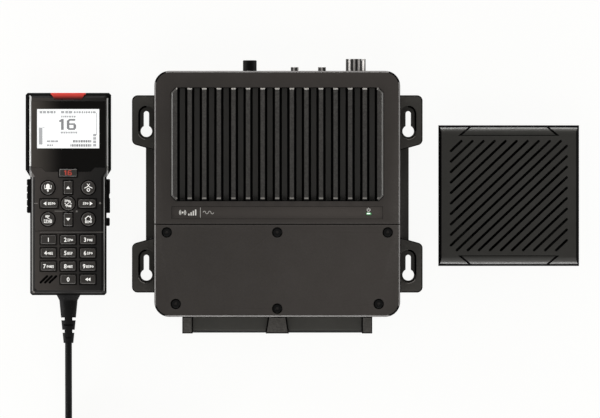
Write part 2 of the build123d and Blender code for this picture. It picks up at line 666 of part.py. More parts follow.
def groove_plan(x):
    """Cross-section of one groove between two fins, in X and Z: narrow floor, leaning walls."""
    mouth = (FIN_PITCH - FIN_TOP) / 2
    foot = FIN_FLOOR / 2
    floor = FIN_Z - FIN_DEPTH
    return [(x - foot, floor), (x + foot, floor), (x + mouth, FIN_Z), (x - mouth, FIN_Z)]


def heatsink():
    """Finned aluminium block that stands through the top cover, with a flange under it."""
    sink = prism(sink_plan(0), SINK_BOTTOM_Z, FIN_Z)
    sink = chamfer(sink.edges().group_by(Axis.Z)[-1], FIN_BEVEL)
    flange_top = COVER_Z1 - COVER_WALL
    sink += prism(sink_plan(SINK_LIP), SINK_BOTTOM_Z, flange_top)
    span = (SINK_BOTTOM_Y - SINK_LIP, SINK_TOP_Y + SINK_LIP)
    block_room = prism(sink_plan(0), SINK_BOTTOM_Z, FIN_Z)
    for number in range(FIN_COUNT + 1):
        x = (number - FIN_COUNT / 2) * FIN_PITCH
        section = make_face(Polyline(*[(px, span[0], pz) for px, pz in groove_plan(x)], close=True))
        sink -= extrude(section, amount=span[1] - span[0], dir=(0, 1, 0)) & block_room
    return sink


def main_board():
    """Circuit board on the chassis's four standoffs."""
    return block((-BOARD_W / 2, BOARD_W / 2), board_span(), (BOARD_Z, BOARD_Z + BOARD_T))


def amplifier_module():
    """Power amplifier between the board and the heat sink."""
    middle = (SINK_TOP_Y + SINK_BOTTOM_Y) / 2
    return prism(Pos(0, middle) * Rectangle(*AMPLIFIER_SIZE), BOARD_Z + BOARD_T, SINK_BOTTOM_Z)


def terminal_block():
    """Row of cable terminals on the floor of the cable bay."""
    width, depth, height = TERMINAL_SIZE
    middle = (SPLIT_Y + BODY_BOTTOM) / 2
    floor = CHASSIS_Z0 + CHASSIS_FLOOR
    terminals = prism(Pos(0, middle) * Rectangle(width, depth), floor, floor + height)
    ways = int(width // depth * 2)
    pitch = width / ways
    for number in range(ways):
        x = (number - (ways - 1) / 2) * pitch
        terminals -= disc(x, middle + depth / 4, pitch / 4, floor + height / 2, floor + height)
    return terminals


def power_lamp():
    """Light pipe of the power lamp, flush in the label strip."""
    lamp = Pos(LAMP_X, LAMP_Y) * SlotOverall(LAMP_W, LAMP_H)
    return prism(lamp, COVER_Z1 - LABEL_DEPTH - LAMP_T, COVER_Z1 - LABEL_DEPTH)


def cable_grommets():
    """Two rubber blocks between the tray's ribs, with blind knock-outs for the cables."""
    top = BODY_BOTTOM - SNUG
    foot = BODY_BOTTOM - TRAY_REACH
    outer = TRAY_HALF_W - TRAY_RIB_W - SNUG
    gap = SNUG / math.cos(math.atan((POST_FOOT_W - POST_TOP_W) / 2 / TRAY_REACH))
    grommets = Part()
    for side in (-1, 1):
        rubber = block(sorted((0, side * outer)), (foot, top), (PLATE_T, GROMMET_H))
        edge = rubber.edges().filter_by(Axis.X).group_by(Axis.Z)[-1].sort_by(Axis.Y)[0]
        rubber = fillet(edge, GROMMET_EDGE)
        rubber -= prism(post_plan(gap, BODY_BOTTOM - SNUG, foot - TRAY_RIB_PROUD), 0, TRAY_H)
        for x in CABLE_X:
            if x * side > 0:
                rubber -= bar_y(x, CABLE_Z, GROMMET_CORE_R, foot, foot + GROMMET_CORE_DEPTH)
        grommets += rubber
    return grommets


def antenna_socket():
    """UHF antenna socket: flange, threaded barrel with four notches, and the centre contact."""
    tip = BODY_TOP + ANTENNA_L
    flange = block((ANTENNA_X - ANTENNA_FLANGE / 2, ANTENNA_X + ANTENNA_FLANGE / 2),
                   (BODY_TOP - CHASSIS_WALL - ANTENNA_FLANGE_T, BODY_TOP - CHASSIS_WALL),
                   (SOCKET_Z - ANTENNA_FLANGE / 2, SOCKET_Z + ANTENNA_FLANGE / 2 - 2))
    tube = bar_y(ANTENNA_X, SOCKET_Z, ANTENNA_TUBE_R, BODY_TOP - SOCKET_TAIL, BODY_TOP)
    barrel = bar_y(ANTENNA_X, SOCKET_Z, ANTENNA_R, BODY_TOP, tip)
    bore_foot = BODY_TOP + BORE_FLOOR
    barrel -= bar_y(ANTENNA_X, SOCKET_Z, ANTENNA_BORE_R, bore_foot, tip)
    for turn in (45, 135):
        notch = Box(ANTENNA_NOTCH, ANTENNA_NOTCH, 3 * ANTENNA_R)
        barrel -= Pos(ANTENNA_X, tip, SOCKET_Z) * Rot(0, turn, 0) * notch
    contact = bar_y(ANTENNA_X, SOCKET_Z, CONTACT_R, BODY_TOP, tip - CONTACT_SET_BACK)
    contact -= bar_y(ANTENNA_X, SOCKET_Z, CONTACT_BORE_R, bore_foot + BORE_FLOOR, tip - CONTACT_SET_BACK)
    return flange + tube + barrel + contact


def round_socket(x, radius, bore_radius, length):
    """A round socket in the top wall: barrel, narrower neck, flange inside the wall, and bore."""
    wall_in = BODY_TOP - CHASSIS_WALL
    tip = BODY_TOP + length
    socket = bar_y(x, SOCKET_Z, radius - NECK_STEP, BODY_TOP - SOCKET_TAIL, BODY_TOP)
    socket += bar_y(x, SOCKET_Z, radius, BODY_TOP, tip)
    socket += bar_y(x, SOCKET_Z, radius + SOCKET_FLANGE, wall_in - SOCKET_FLANGE, wall_in)
    return socket - bar_y(x, SOCKET_Z, bore_radius, BODY_TOP, tip)


def sma_sockets():
    """Two small threaded aerial sockets with their contacts."""
    sockets = Part()
    tip = BODY_TOP + SMALL_SOCKET_L - CONTACT_SET_BACK
    for x in SMALL_SOCKET_X:
        sockets += round_socket(x, SMALL_SOCKET_R, SMALL_SOCKET_BORE_R, SMALL_SOCKET_L)
        sockets += bar_y(x, SOCKET_Z, SMALL_CONTACT_R, BODY_TOP - SOCKET_FLANGE, tip)
    return sockets


def data_socket():
    """Round data socket under the rubber cap."""
    return round_socket(DATA_X, DATA_R, DATA_BORE_R, DATA_L)


def data_cap():
    """Rubber cap that pulls off the data socket."""
    tip = BODY_TOP + CAP_L
    cap = bar_y(DATA_X, SOCKET_Z, CAP_R, BODY_TOP + SNUG, tip)
    cap = fillet(cap.edges().sort_by(Axis.Y)[-1], CAP_EDGE)
    cap -= bar_y(DATA_X, SOCKET_Z, DATA_R + SLIP, BODY_TOP, BODY_TOP + DATA_L + SLIP)
    return cap


# ---------------------------------------------------------------- handset
def handset_plan(inset, z):
    """The handset's outline in plan, drawn in by inset, as a face at height z."""
    head = HS_HEAD_HALF - inset
    grip = HS_GRIP_HALF - inset
    top = HS_TOP - inset
    foot = HS_BOTTOM + inset
    cut = HS_CORNER
    right = [(grip - cut, foot), (grip, foot + cut), (grip, HS_WAIST_BOTTOM),
             (head, HS_WAIST_TOP), (head, top - cut), (head - cut, top)]
    left = [(-x, y) for x, y in reversed(right)]
    return Pos(HS_X, 0, z) * polygon(right + left)


def handset_taper(low, high, inset_low, inset_high):
    """A slice of the handset whose outline changes from one inset to another."""
    return loft([handset_plan(inset_low, low), handset_plan(inset_high, high)], ruled=True)


def hood_recess():
    """The recess in the handset's top end that holds the distress button and its cover."""
    return block((HS_X - HOOD_HALF, HS_X + HOOD_HALF), (HS_TOP - HOOD_DEPTH, HS_TOP), HOOD_Z)


def distress_button_hole():
    """The hole for the distress button, through the wall behind the recess."""
    wall_out = HS_TOP - HOOD_DEPTH
    return bar_y(HS_X, DISTRESS_Z, DISTRESS_R + SLIP, wall_out - HOOD_PAD, wall_out)


def lip_plan(grow):
    """The part of the distress cover that shows on the face, grown by grow."""
    inner, outer = FLAP_LIP_HALF
    foot = HS_TOP - FLAP_LIP_Y - grow
    top = HS_TOP + (1 if grow else 0)
    return Pos(HS_X, 0) * polygon([(-inner - grow, foot), (inner + grow, foot),
                                   (outer + grow, top), (-outer - grow, top)])


def side_window(side, y, grow):
    """The opening in the handset's flank for a side key, grown by grow."""
    x = sorted((HS_X + side * (HS_GRIP_HALF - REAR_WALL), HS_X + side * (HS_GRIP_HALF + 1)))
    return block(x, (y[0] - grow, y[1] + grow), (SIDE_Z[0] - grow, SIDE_Z[1] + grow))


def handset_screw_places():
    """Centres of the four handset screws."""
    return [(HS_X + side * HS_SCREW_X, y) for side in (-1, 1) for y in HS_SCREW_Y]


def diagonal_slots(x, y, count, pitch, width, length, low, high):
    """A row of slots that lean at the grille's angle, cut from low to high."""
    slots = Part()
    for number in range(count):
        shift = (number - (count - 1) / 2) * pitch
        slot = Pos(x + shift, y) * Rot(0, 0, GRILLE_ANGLE) * SlotOverall(length, width)
        slots += prism(slot, low, high)
    return slots


def handset_rear_shell():
    """Back half of the handset, with the hanging lug, ear slots and screw bosses."""
    shell = handset_taper(0, REAR_BEVEL_H, REAR_BEVEL, 0) + handset_taper(REAR_BEVEL_H, REAR_H, 0, 0)
    outer = shell
    shell -= handset_taper(REAR_FLOOR, REAR_H, REAR_WALL, REAR_WALL)
    pad = (HS_X - HOOD_HALF - HOOD_PAD, HS_X + HOOD_HALF + HOOD_PAD)
    shell += block(pad, (HS_TOP - HOOD_DEPTH - HOOD_PAD, HS_TOP), (REAR_FLOOR, REAR_H)) & outer
    shell += disc(HS_X, LUG_Y, LUG_POCKET_R + REAR_FLOOR, REAR_FLOOR, LUG_POCKET_DEPTH + REAR_FLOOR)
    for x, y in handset_screw_places():
        room = handset_taper(0, HS_BOARD_Z, FRONT_WALL + SNUG, FRONT_WALL + SNUG)
        shell += disc(x, y, HS_BOSS_R, REAR_FLOOR, HS_BOARD_Z) & room
    shell -= hood_recess() + distress_button_hole()
    shell -= disc(HS_X, LUG_Y, LUG_POCKET_R, 0, LUG_POCKET_DEPTH)
    shell += disc(HS_X, LUG_Y, LUG_NECK_R, LUG_TIP_Z, LUG_POCKET_DEPTH)
    shell += disc(HS_X, LUG_Y, LUG_HEAD_R, LUG_TIP_Z, LUG_TIP_Z + LUG_HEAD_T)
    for side in (-1, 1):
        stub = HS_X + side * HOOD_HALF
        ends = sorted((stub, stub + side * (FLAP_STUB_L + SLIP)))
        shell -= bar_x(flap_axis_y(), FLAP_BARREL_Z, FLAP_STUB_R + PIVOT_SLIP, *ends)
        shell -= side_window(side, PTT_Y, SLIP if side < 0 else ROCKER_SLIP)
    shell -= side_window(1, SMALL_BUTTON_Y, SLIP)
    stub_foot = SIDE_Z[0] - ROCKER_SLIP - ROCKER_STUB_L - SLIP
    shell -= disc(rocker_axis_x(), sum(PTT_Y) / 2, ROCKER_STUB_R + PIVOT_SLIP, stub_foot, REAR_H)
    for x, y in handset_screw_places():
        shell -= disc(x, y, HS_SCREW_R + SCREW_SLIP, 0, HS_BOARD_Z)
        shell -= disc(x, y, HS_SCREW_HEAD_R + SCREW_SLIP, 0, HS_SCREW_HEAD_H)
    shell -= bar_y(HS_X, GLAND_Z, GLAND_SEAT_R + SNUG, HS_BOTTOM, HS_BOTTOM + REAR_WALL)
    slot_l = EARPIECE_R * 1.3
    shell -= diagonal_slots(HS_X, EARPIECE_Y, EAR_SLOTS, EAR_SLOT_PITCH, EAR_SLOT_W, slot_l, 0, REAR_FLOOR)
    return shell


def flap_axis_y():
    """The distress cover's hinge axis, in y."""
    return HS_TOP - FLAP_BARREL_R


def rocker_axis_x():
    """The volume rocker's axis, in x, in the middle of the flank's wall."""
    return HS_X + HS_GRIP_HALF - REAR_WALL / 2


def handset_front_shell():
    """Front half of the handset, with the key holes, the lens seat and the hood."""
    flank_top = FACE_Z - FACE_BEVEL_H
    slope_foot = flank_top - FRONT_SLOPE_H
    shell = handset_taper(REAR_H, slope_foot, 0, 0)
    shell += handset_taper(slope_foot, flank_top, 0, FRONT_SLOPE)
    shell += handset_taper(flank_top, FACE_Z, FRONT_SLOPE, FRONT_SLOPE + FACE_BEVEL)
    outer = shell
    shell -= handset_taper(REAR_H, KEY_SEAT_Z, FRONT_WALL, FRONT_WALL)
    pad = (HS_X - HOOD_HALF - HOOD_PAD, HS_X + HOOD_HALF + HOOD_PAD)
    shell += block(pad, (HS_TOP - HOOD_DEPTH - HOOD_PAD, HS_TOP), (REAR_H, KEY_SEAT_Z)) & outer
    for x, y in handset_screw_places():
        shell += disc(x, y, HS_BOSS_R, HS_BOARD_TOP, KEY_SEAT_Z)
        shell -= disc(x, y, HS_SCREW_R + SCREW_SLIP, REAR_H, KEY_SEAT_Z)
    shell -= hood_recess() + distress_button_hole()
    shell -= prism(lip_plan(SLIP), HOOD_Z[0] + FRONT_H, FACE_Z + 1)
    shell -= prism(lens_plan(SNUG), FACE_Z - LENS_T, FACE_Z)
    window = ((HS_X - WINDOW_HALF, HS_X + WINDOW_HALF), WINDOW_Y)
    shell -= block(*window, (KEY_SEAT_Z, FACE_Z))
    for plan in keys().values():
        shell -= prism(plan(SLIP), KEY_SEAT_Z, FACE_Z)
    seam = (HS_X - HS_GRIP_HALF, HS_X + HS_GRIP_HALF)
    shell -= block(seam, (SEAM_Y - SEAM_W / 2, SEAM_Y + SEAM_W / 2), (FACE_Z - SEAM_W, FACE_Z))
    mic = (HS_X - NUMBER_DX, NUMBER_TOP_Y - 3 * NUMBER_DY)
    shell -= diagonal_slots(*mic, MIC_SLOTS, MIC_PITCH, MIC_SLOT_W, MIC_SLOT_L, KEY_SEAT_Z, FACE_Z)
    return shell


def lens_plan(grow):
    """The clear front window's outline: a stepped lower edge, and a notch for the red key."""
    half = LENS_HALF + grow
    side = LENS_SIDE_Y - grow
    middle = LENS_MID_Y - grow
    step_out, step_in = [LENS_HALF - inset for inset in LENS_STEP_IN]
    right = [(step_in, middle), (step_out, side), (half, side), (half, LENS_TOP + grow)]
    left = [(-x, y) for x, y in reversed(right)]
    plan = Pos(HS_X, 0) * polygon(right + left)
    notch_w = RED_KEY[0] + 2 * (2 * SLIP + SNUG - grow)
    notch_l = RED_KEY[1] + 2 * (2 * SLIP + SNUG - grow)
    return plan - Pos(HS_X, RED_KEY_Y) * Rectangle(notch_w, notch_l)


def display_lens():
    """Clear window, flush with the face."""
    return prism(lens_plan(0), FACE_Z - LENS_T, FACE_Z)


def display_screen():
    """Liquid-crystal display module on the board, behind the window."""
    half = WINDOW_HALF + SCREEN_EDGE
    y = (WINDOW_Y[0] - SCREEN_EDGE, WINDOW_Y[1] + SCREEN_TOP_EDGE)
    return block((HS_X - half, HS_X + half), y, (HS_BOARD_TOP, KEY_SEAT_Z))


def handset_board():
    """Handset's circuit board, gripped between the two shells' bosses."""
    board = prism(handset_plan(HS_BOARD_INSET, 0), HS_BOARD_Z, HS_BOARD_TOP)
    notch_half = HOOD_HALF + HOOD_PAD + SNUG
    button_reach = DISTRESS_FLANGE_T + DISTRESS_TRAVEL + SLIP
    notch_foot = HS_TOP - HOOD_DEPTH - HOOD_PAD - button_reach
    board -= block((HS_X - notch_half, HS_X + notch_half), (notch_foot, HS_TOP), (HS_BOARD_Z, HS_BOARD_TOP))
    for x, y in handset_screw_places():
        board -= disc(x, y, HS_SCREW_R + SCREW_SLIP, HS_BOARD_Z, HS_BOARD_TOP)
    return board


def key_membrane():
    """Silicone mat under the keys, low enough for their travel."""
    top = KEY_SEAT_Z - KEY_FLANGE_T - KEY_TRAVEL - SLIP
    mat = prism(handset_plan(HS_BOARD_INSET + 1, 0), HS_BOARD_TOP, top)
    mat &= below(RED_KEY_Y + RED_KEY[1])
    for x, y in handset_screw_places():
        mat -= disc(x, y, HS_BOSS_R + SLIP, HS_BOARD_TOP, top)
    return mat


def box_plan(x, y, size, corner):
    """A plan function for a key with square sides and rounded corners."""
    return lambda grow: Pos(x, y) * RectangleRounded(size[0] + 2 * grow, size[1] + 2 * grow, corner)


def round_plan(x, y):
    """A plan function for a round key."""
    return lambda grow: Pos(x, y) * Circle(ROUND_KEY_R + grow)


def keys():
    """Every key of the keypad: its name, and its outline as a function of growth."""
    found = {}
    for name, dx, dy in (("key_alert", -1, 1), ("key_squelch", 1, 1), ("key_menu", -1, -1),
                         ("key_home", 1, -1), ("key_select", 0, 0)):
        found[name] = round_plan(HS_X + dx * NAV_DX, NAV_Y + dy * NAV_DY)
    for name, dy in (("key_up", 1), ("key_down", -1)):
        found[name] = box_plan(HS_X, NAV_Y + dy * (NAV_DY + 0.2), ARROW_KEY, 0.8)
    for name, dx in (("key_left", -1), ("key_right", 1)):
        found[name] = box_plan(HS_X + dx * SIDE_KEY_DX, NAV_Y, SIDE_KEY, 2.0)
    found["key_channel"] = box_plan(HS_X, RED_KEY_Y, RED_KEY, 0.8)
    for number in range(9):
        row, column = divmod(number, 3)
        x = HS_X + (column - 1) * NUMBER_DX
        found[f"key_{number + 1}"] = box_plan(x, NUMBER_TOP_Y - row * NUMBER_DY, NUMBER_KEY, 1.4)
    last_row = NUMBER_TOP_Y - 3 * NUMBER_DY
    found["key_0"] = box_plan(HS_X, last_row, NUMBER_KEY, 1.4)
    found["key_back"] = box_plan(HS_X + NUMBER_DX, last_row, NUMBER_KEY, 1.4)
    return found


def keypad_key(plan):
    """One key: a cap that stands through the face, and a flange that keeps it in."""
    cap = prism(plan(0), KEY_SEAT_Z, FACE_Z + KEY_PROUD)
    cap = chamfer(cap.edges().group_by(Axis.Z)[-1], 0.4)
    return cap + prism(plan(KEY_FLANGE), KEY_SEAT_Z - KEY_FLANGE_T, KEY_SEAT_Z)


def side_rib(side, y, proud):
    """A bevelled rib on a side key, from the flank outwards."""
    flank = HS_X + side * HS_GRIP_HALF
    rib = block(sorted((flank, flank + side * proud)), y, SIDE_Z)
    uprights = rib.edges().filter_by(Axis.Z).sort_by(Axis.X)
    outer = uprights[-2:] if side > 0 else uprights[:2]
    return chamfer(outer, RIB_BEVEL)


def side_key(side, y, travel, grips):
    """A push key in the handset's flank, with a retaining flange inside."""
    proud = travel + GRIP_PROUD
    flank = HS_X + side * HS_GRIP_HALF
    wall_in = flank - side * REAR_WALL
    key = block(sorted((wall_in, flank + side * (proud - RIB_RISE))), y, SIDE_Z)
    pitch = (y[1] - y[0]) / grips
    for number in range(grips):
        low = y[0] + number * pitch
        key += side_rib(side, (low + RIB_GAP / 2, low + pitch - RIB_GAP / 2), proud)
    key += block(sorted((wall_in, wall_in - side * FLANGE_T)), (y[0] - FLANGE_OVER, y[1] + FLANGE_OVER),
                 (SIDE_Z[0] - FLANGE_OVER, SIDE_Z[1]))
    return key


def volume_rocker():
    """Volume rocker, which tilts on two stubs in the flank's wall."""
    flank = HS_X + HS_GRIP_HALF
    rocker = block((flank - REAR_WALL, flank + ROCKER_PROUD - RIB_RISE), PTT_Y, SIDE_Z)
    middle = sum(PTT_Y) / 2
    rocker += side_rib(1, (middle + ROCKER_DIP / 2, PTT_Y[1]), ROCKER_PROUD)
    rocker += side_rib(1, (PTT_Y[0], middle - ROCKER_DIP / 2), ROCKER_PROUD)
    stub_foot = SIDE_Z[0] - ROCKER_SLIP - ROCKER_STUB_L
    rocker += disc(rocker_axis_x(), middle, ROCKER_STUB_R, stub_foot, REAR_H - SNUG)
    return rocker


def distress_cover():
    """Red hinged cover: an end plate, a lip that comes onto the face, and a hinge barrel."""
    half = HOOD_HALF - SLIP
    x = (HS_X - half, HS_X + half)
    y = flap_axis_y()
    top = FACE_Z
    plate = block(x, (HS_TOP - FLAP_T, HS_TOP), (FLAP_BARREL_Z, HOOD_Z[1] - SLIP))
    plate += bar_x(y, FLAP_BARREL_Z, FLAP_BARREL_R, *x)
    lip = prism(lip_plan(0), top - FLAP_LIP_T, top)
    neck = prism(lip_plan(0), HOOD_Z[1] - SLIP, top) & above(HS_TOP - FLAP_T)
    plate += lip + neck
    for side in (-1, 1):
        ends = sorted((HS_X + side * half, HS_X + side * (HOOD_HALF + FLAP_STUB_L)))
        plate += bar_x(y, FLAP_BARREL_Z, FLAP_STUB_R, *ends)
    return plate


def distress_button():
    """Button under the hinged cover, with a flange behind the recess's wall."""
    wall_out = HS_TOP - HOOD_DEPTH
    wall_in = wall_out - HOOD_PAD
    button = bar_y(HS_X, DISTRESS_Z, DISTRESS_R, wall_in, wall_out + DISTRESS_PROUD)
    button = chamfer(button.edges().sort_by(Axis.Y)[-1], 0.5)
    flange_r = DISTRESS_R + DISTRESS_FLANGE
    return button + bar_y(HS_X, DISTRESS_Z, flange_r, wall_in - DISTRESS_FLANGE_T, wall_in)


def earpiece():
    """Small round loudspeaker on the rear shell's floor."""
    ring = disc(HS_X, EARPIECE_Y, EARPIECE_R, REAR_FLOOR, REAR_FLOOR + EARPIECE_T / 2)
    magnet = disc(HS_X, EARPIECE_Y, EARPIECE_R / 2, REAR_FLOOR, REAR_FLOOR + EARPIECE_T)
    dish = disc(HS_X, EARPIECE_Y, EARPIECE_R - 3, REAR_FLOOR, REAR_FLOOR + 1.5)
    return ring + magnet - dish


def handset_screws():
    """Four screws from the back, through the rear shell and the board into the front shell."""
    screws = Part()
    for x, y in handset_screw_places():
        head = disc(x, y, HS_SCREW_HEAD_R, HS_SCREW_SUNK, HS_SCREW_HEAD_H)
        head -= cross_recess(x, y, HS_SCREW_SUNK, HS_SCREW_HEAD_R)
        screws += head + disc(x, y, HS_SCREW_R, HS_SCREW_HEAD_H, KEY_SEAT_Z - 1)
    return screws


def strain_relief():
    """Flattened, tapered bend relief with side slots, seated in the handset's foot."""
    profile = [(0, 0)] + [(radius, -distance) for distance, radius in RELIEF_STEPS] + [(0, -RELIEF_L)]
    relief = revolve(make_face(Polyline(*profile, close=True)), Axis.Y, 360)
    relief = scale(relief, by=(1, 1, RELIEF_FLAT))
    for low, high in RELIEF_SLOTS:
        for side in (-1, 1):
            x = sorted((side * RELIEF_SPINE, side * FAR))
            relief -= block(x, (-high, -low), (-FAR, FAR))
    for low, high in RELIEF_TOP_SLOTS:
        for side in (-1, 1):
            z = sorted((side * RELIEF_SPINE, side * FAR))
            relief -= block((-FAR, FAR), (-high, -low), z)
    relief = Pos(HS_X, HS_BOTTOM, GLAND_Z) * relief
    spigot = bar_y(HS_X, GLAND_Z, GLAND_SEAT_R, HS_BOTTOM, HS_BOTTOM + REAR_WALL)
    inside = HS_BOTTOM + REAR_WALL
    flange_r = GLAND_SEAT_R + GLAND_FLANGE
    return relief + spigot + bar_y(HS_X, GLAND_Z, flange_r, inside, inside + GLAND_FLANGE_T)


# ---------------------------------------------------------------- handset cord
def bend_radii(route):
    """For each corner of a route, 0.45 of its shorter run over the tangent of half its turn."""
    radii = []
    for before, corner, after in zip(route, route[1:], route[2:]):
        run_in = Vector(*corner) - Vector(*before)
        run_out = Vector(*after) - Vector(*corner)
        turn = math.radians(run_in.get_angle(run_out))
        radii.append(0.45 * min(run_in.length, run_out.length) / math.tan(turn / 2))
    return radii


def cord_tube(route):
    """Straight runs joined by tangent arcs, at the cord's thickness."""
    radii = bend_radii(route)
    print("cord bend radii", [round(r) for r in radii])
    path = FilletPolyline(*route, radius=radii)
    start = Vector(*route[0])
    section = Plane(origin=start, z_dir=Vector(*route[1]) - start) * Circle(CORD_R)
    return sweep(section, path=path)


def tail_point(along, outward, height):
    """A point by the place where the cord's end leaves the coil: along the cord, outward and up."""
    turn = math.radians(TAIL_TURN)
    radius = COIL_RUN_R + outward
    x = COIL_X + radius * math.cos(turn) - along * math.sin(turn)
    y = COIL_Y + radius * math.sin(turn) + along * math.cos(turn)
    return (x, y, height)


def handset_cord():
    """The cord's two free stretches: strain relief to coil, and coil to plug."""
    return cord_tube(CORD_ROUTE) + cord_tube([tail_point(*place) for place in TAIL_ROUTE])


def cord_coil():
    """The put-away length, as one ring of the coil's outer shape, with its rim rounded."""
    height = COIL_LAYERS * 2 * CORD_R
    ring = disc(COIL_X, COIL_Y, COIL_OUTER_R, 0, height) - disc(COIL_X, COIL_Y, COIL_INNER_R, 0, height)
    return fillet(ring.edges().group_by(Axis.Z)[-1], CORD_R * 0.6)


def cord_plug():
    """Round screw-on connector at the cord's far end, lying beside the coil."""
    plug = bar_y(0, 0, PLUG_R, 0, PLUG_L) + bar_y(0, 0, PLUG_NUT_R, PLUG_L - PLUG_NUT_L, PLUG_L)
    return Pos(*tail_point(*TAIL_ROUTE[-1])) * Rot(0, 0, TAIL_TURN) * plug


# ---------------------------------------------------------------- extension speaker
def bezel_blank():
    """The speaker's front shell as a solid: rolled top and bottom edges, bevelled sides."""
    blank = block((-SPK_W / 2, SPK_W / 2), (-SPK_L / 2, SPK_L / 2), (BEZEL_Z0, SPK_H))
    rolled = blank.edges().filter_by(Axis.X).group_by(Axis.Z)[-1]
    blank = fillet(rolled, BEZEL_ROLL)
    wedge = polygon([(0, 0), (BEZEL_SIDE, 0), (0, -2 * BEZEL_SIDE)])
    for side in (-1, 1):
        corner = Plane(origin=(side * SPK_W / 2, 0, SPK_H), x_dir=(-side, 0, 0), z_dir=(0, side, 0))
        blank -= extrude(corner * wedge, amount=SPK_L / 2 + 1, both=True)
    return blank


def grille_slots():
    """Slots at the grille's angle, clipped to its window."""
    lean = math.radians(GRILLE_ANGLE)
    along = (math.cos(lean), math.sin(lean))
    half_x, half_y = GRILLE_HALF
    slots = Part()
    for number in range(GRILLE_COUNT):
        offset = (number - (GRILLE_COUNT - 1) / 2) * GRILLE_PITCH
        foot = (-offset * along[1], offset * along[0])
        reach_x = sorted(((-half_x - foot[0]) / along[0], (half_x - foot[0]) / along[0]))
        reach_y = sorted(((-half_y - foot[1]) / along[1], (half_y - foot[1]) / along[1]))
        low = max(reach_x[0], reach_y[0])
        high = min(reach_x[1], reach_y[1])
        if high - low > 2 * GRILLE_SLOT_W:
            middle = (low + high) / 2
            centre = Pos(foot[0] + middle * along[0], foot[1] + middle * along[1])
            slot = centre * Rot(0, 0, GRILLE_ANGLE) * SlotOverall(high - low, GRILLE_SLOT_W)
            slots += prism(slot, SPK_H - BEZEL_FRONT - 1, SPK_H + 1)
    return slots


def speaker_bezel():
    """Front shell with the slotted grille."""
    bezel = bezel_blank()
    lowered = Pos(0, 0, -BAND_DEPTH) * bezel_blank()
    top_half = SPK_W / 2 - BAND_TOP_SIDE
    foot_half = SPK_W / 2 - BAND_FOOT_SIDE
    for end in (-1, 1):
        rim = end * SPK_L / 2
        foot = end * (SPK_L / 2 - BAND_REACH)
        band = polygon([(-top_half, rim), (top_half, rim),
                        (foot_half, foot), (-foot_half, foot)])
        bezel -= prism(band, BEZEL_Z0 + BEZEL_FRONT, SPK_H + 1) - lowered
    inner = (SPK_W / 2 - BEZEL_WALL, SPK_L / 2 - BEZEL_WALL)
    cavity = block((-inner[0], inner[0]), (-inner[1], inner[1]), (BEZEL_Z0, SPK_H - BEZEL_FRONT))
    ceiling = cavity.edges().filter_by(Axis.X).group_by(Axis.Z)[-1]
    bezel -= fillet(ceiling, BEZEL_ROLL - BEZEL_WALL)
    for x, y in speaker_screw_places():
        bezel += disc(x, y, SPK_BOSS_R, BEZEL_Z0 + FLANGE_H, SPK_H - BEZEL_FRONT + SNUG)
        bezel -= disc(x, y, SPK_SCREW_R + SCREW_SLIP, BEZEL_Z0, BEZEL_Z0 + SPK_SCREW_L)
    bezel -= grille_slots()
    return Pos(SPK_X, SPK_Y) * bezel


def speaker_screw_places():
    """Centres of the four speaker screws, from the speaker's middle."""
    x = SPK_W / 2 - SPK_SCREW_INSET
    y = SPK_L / 2 - SPK_SCREW_INSET
    return [(side * x, end * y) for side in (-1, 1) for end in (-1, 1)]


def speaker_housing():
    """Rear tub with the flange that closes the bezel and carries the driver."""
    tub = prism(RectangleRounded(TUB_W, TUB_W, TUB_CORNER), 0, BEZEL_Z0 + FLANGE_H)
    inside = TUB_W - 2 * TUB_WALL
    tub -= prism(RectangleRounded(inside, inside, TUB_CORNER - TUB_WALL), TUB_WALL, BEZEL_Z0)
    rim = (SPK_W - 2 * BEZEL_WALL - 2 * SNUG, SPK_L - 2 * BEZEL_WALL - 2 * SNUG)
    tub += prism(Rectangle(*rim), BEZEL_Z0, BEZEL_Z0 + FLANGE_H)
    tub -= disc(0, 0, DRIVER_HOLE_R, BEZEL_Z0 - 1, BEZEL_Z0 + FLANGE_H)
    for x, y in speaker_screw_places():
        tub -= disc(x, y, SPK_SCREW_R + SCREW_SLIP, BEZEL_Z0, BEZEL_Z0 + FLANGE_H)
    tub -= bar_y(0, BEZEL_Z0 / 2, SPK_CABLE_HOLE_R, -TUB_W / 2, -TUB_W / 2 + TUB_WALL)
    return Pos(SPK_X, SPK_Y) * tub


def speaker_screws():
    """Four screws that hold the housing's flange to the bezel."""
    screws = Part()
    for x, y in speaker_screw_places():
        head = disc(x, y, SPK_SCREW_HEAD_R, BEZEL_Z0 - SPK_SCREW_HEAD_H, BEZEL_Z0)
        head -= cross_recess(x, y, BEZEL_Z0 - SPK_SCREW_HEAD_H, SPK_SCREW_HEAD_R)
        screws += head + disc(x, y, SPK_SCREW_R, BEZEL_Z0, BEZEL_Z0 + SPK_SCREW_L - 1)
    return Pos(SPK_X, SPK_Y) * screws


def turned(profile):
    """A solid of revolution about the speaker's axis, from points of radius and height."""
    face = make_face(Polyline(*[(r, 0, z) for r, z in profile], close=True))
    return revolve(face, Axis.Z, 360)


def speaker_driver():
    """Driver frame and magnet, seated on the housing's flange."""
    seat = BEZEL_Z0 + FLANGE_H
    back = seat - BASKET_DEPTH
    plate = back - RIM_T
    gap_out = VOICE_R + VOICE_GAP
    frame = turned([(CONE_R + VOICE_GAP, seat), (DRIVER_R, seat), (DRIVER_R, seat + RIM_T),
                    (CONE_R, seat + RIM_T), (CONE_R - RIM_T / 2, seat), (MAGNET_R - RIM_T, back),
                    (gap_out, back), (gap_out, plate), (MAGNET_R, plate)])
    ring = disc(0, 0, MAGNET_R, plate - MAGNET_H, plate)
    ring -= disc(0, 0, gap_out, plate - MAGNET_H + POLE_FOOT, plate)
    pole = disc(0, 0, VOICE_R - VOICE_GAP, plate - MAGNET_H, back)
    return Pos(SPK_X, SPK_Y) * (frame + ring + pole)


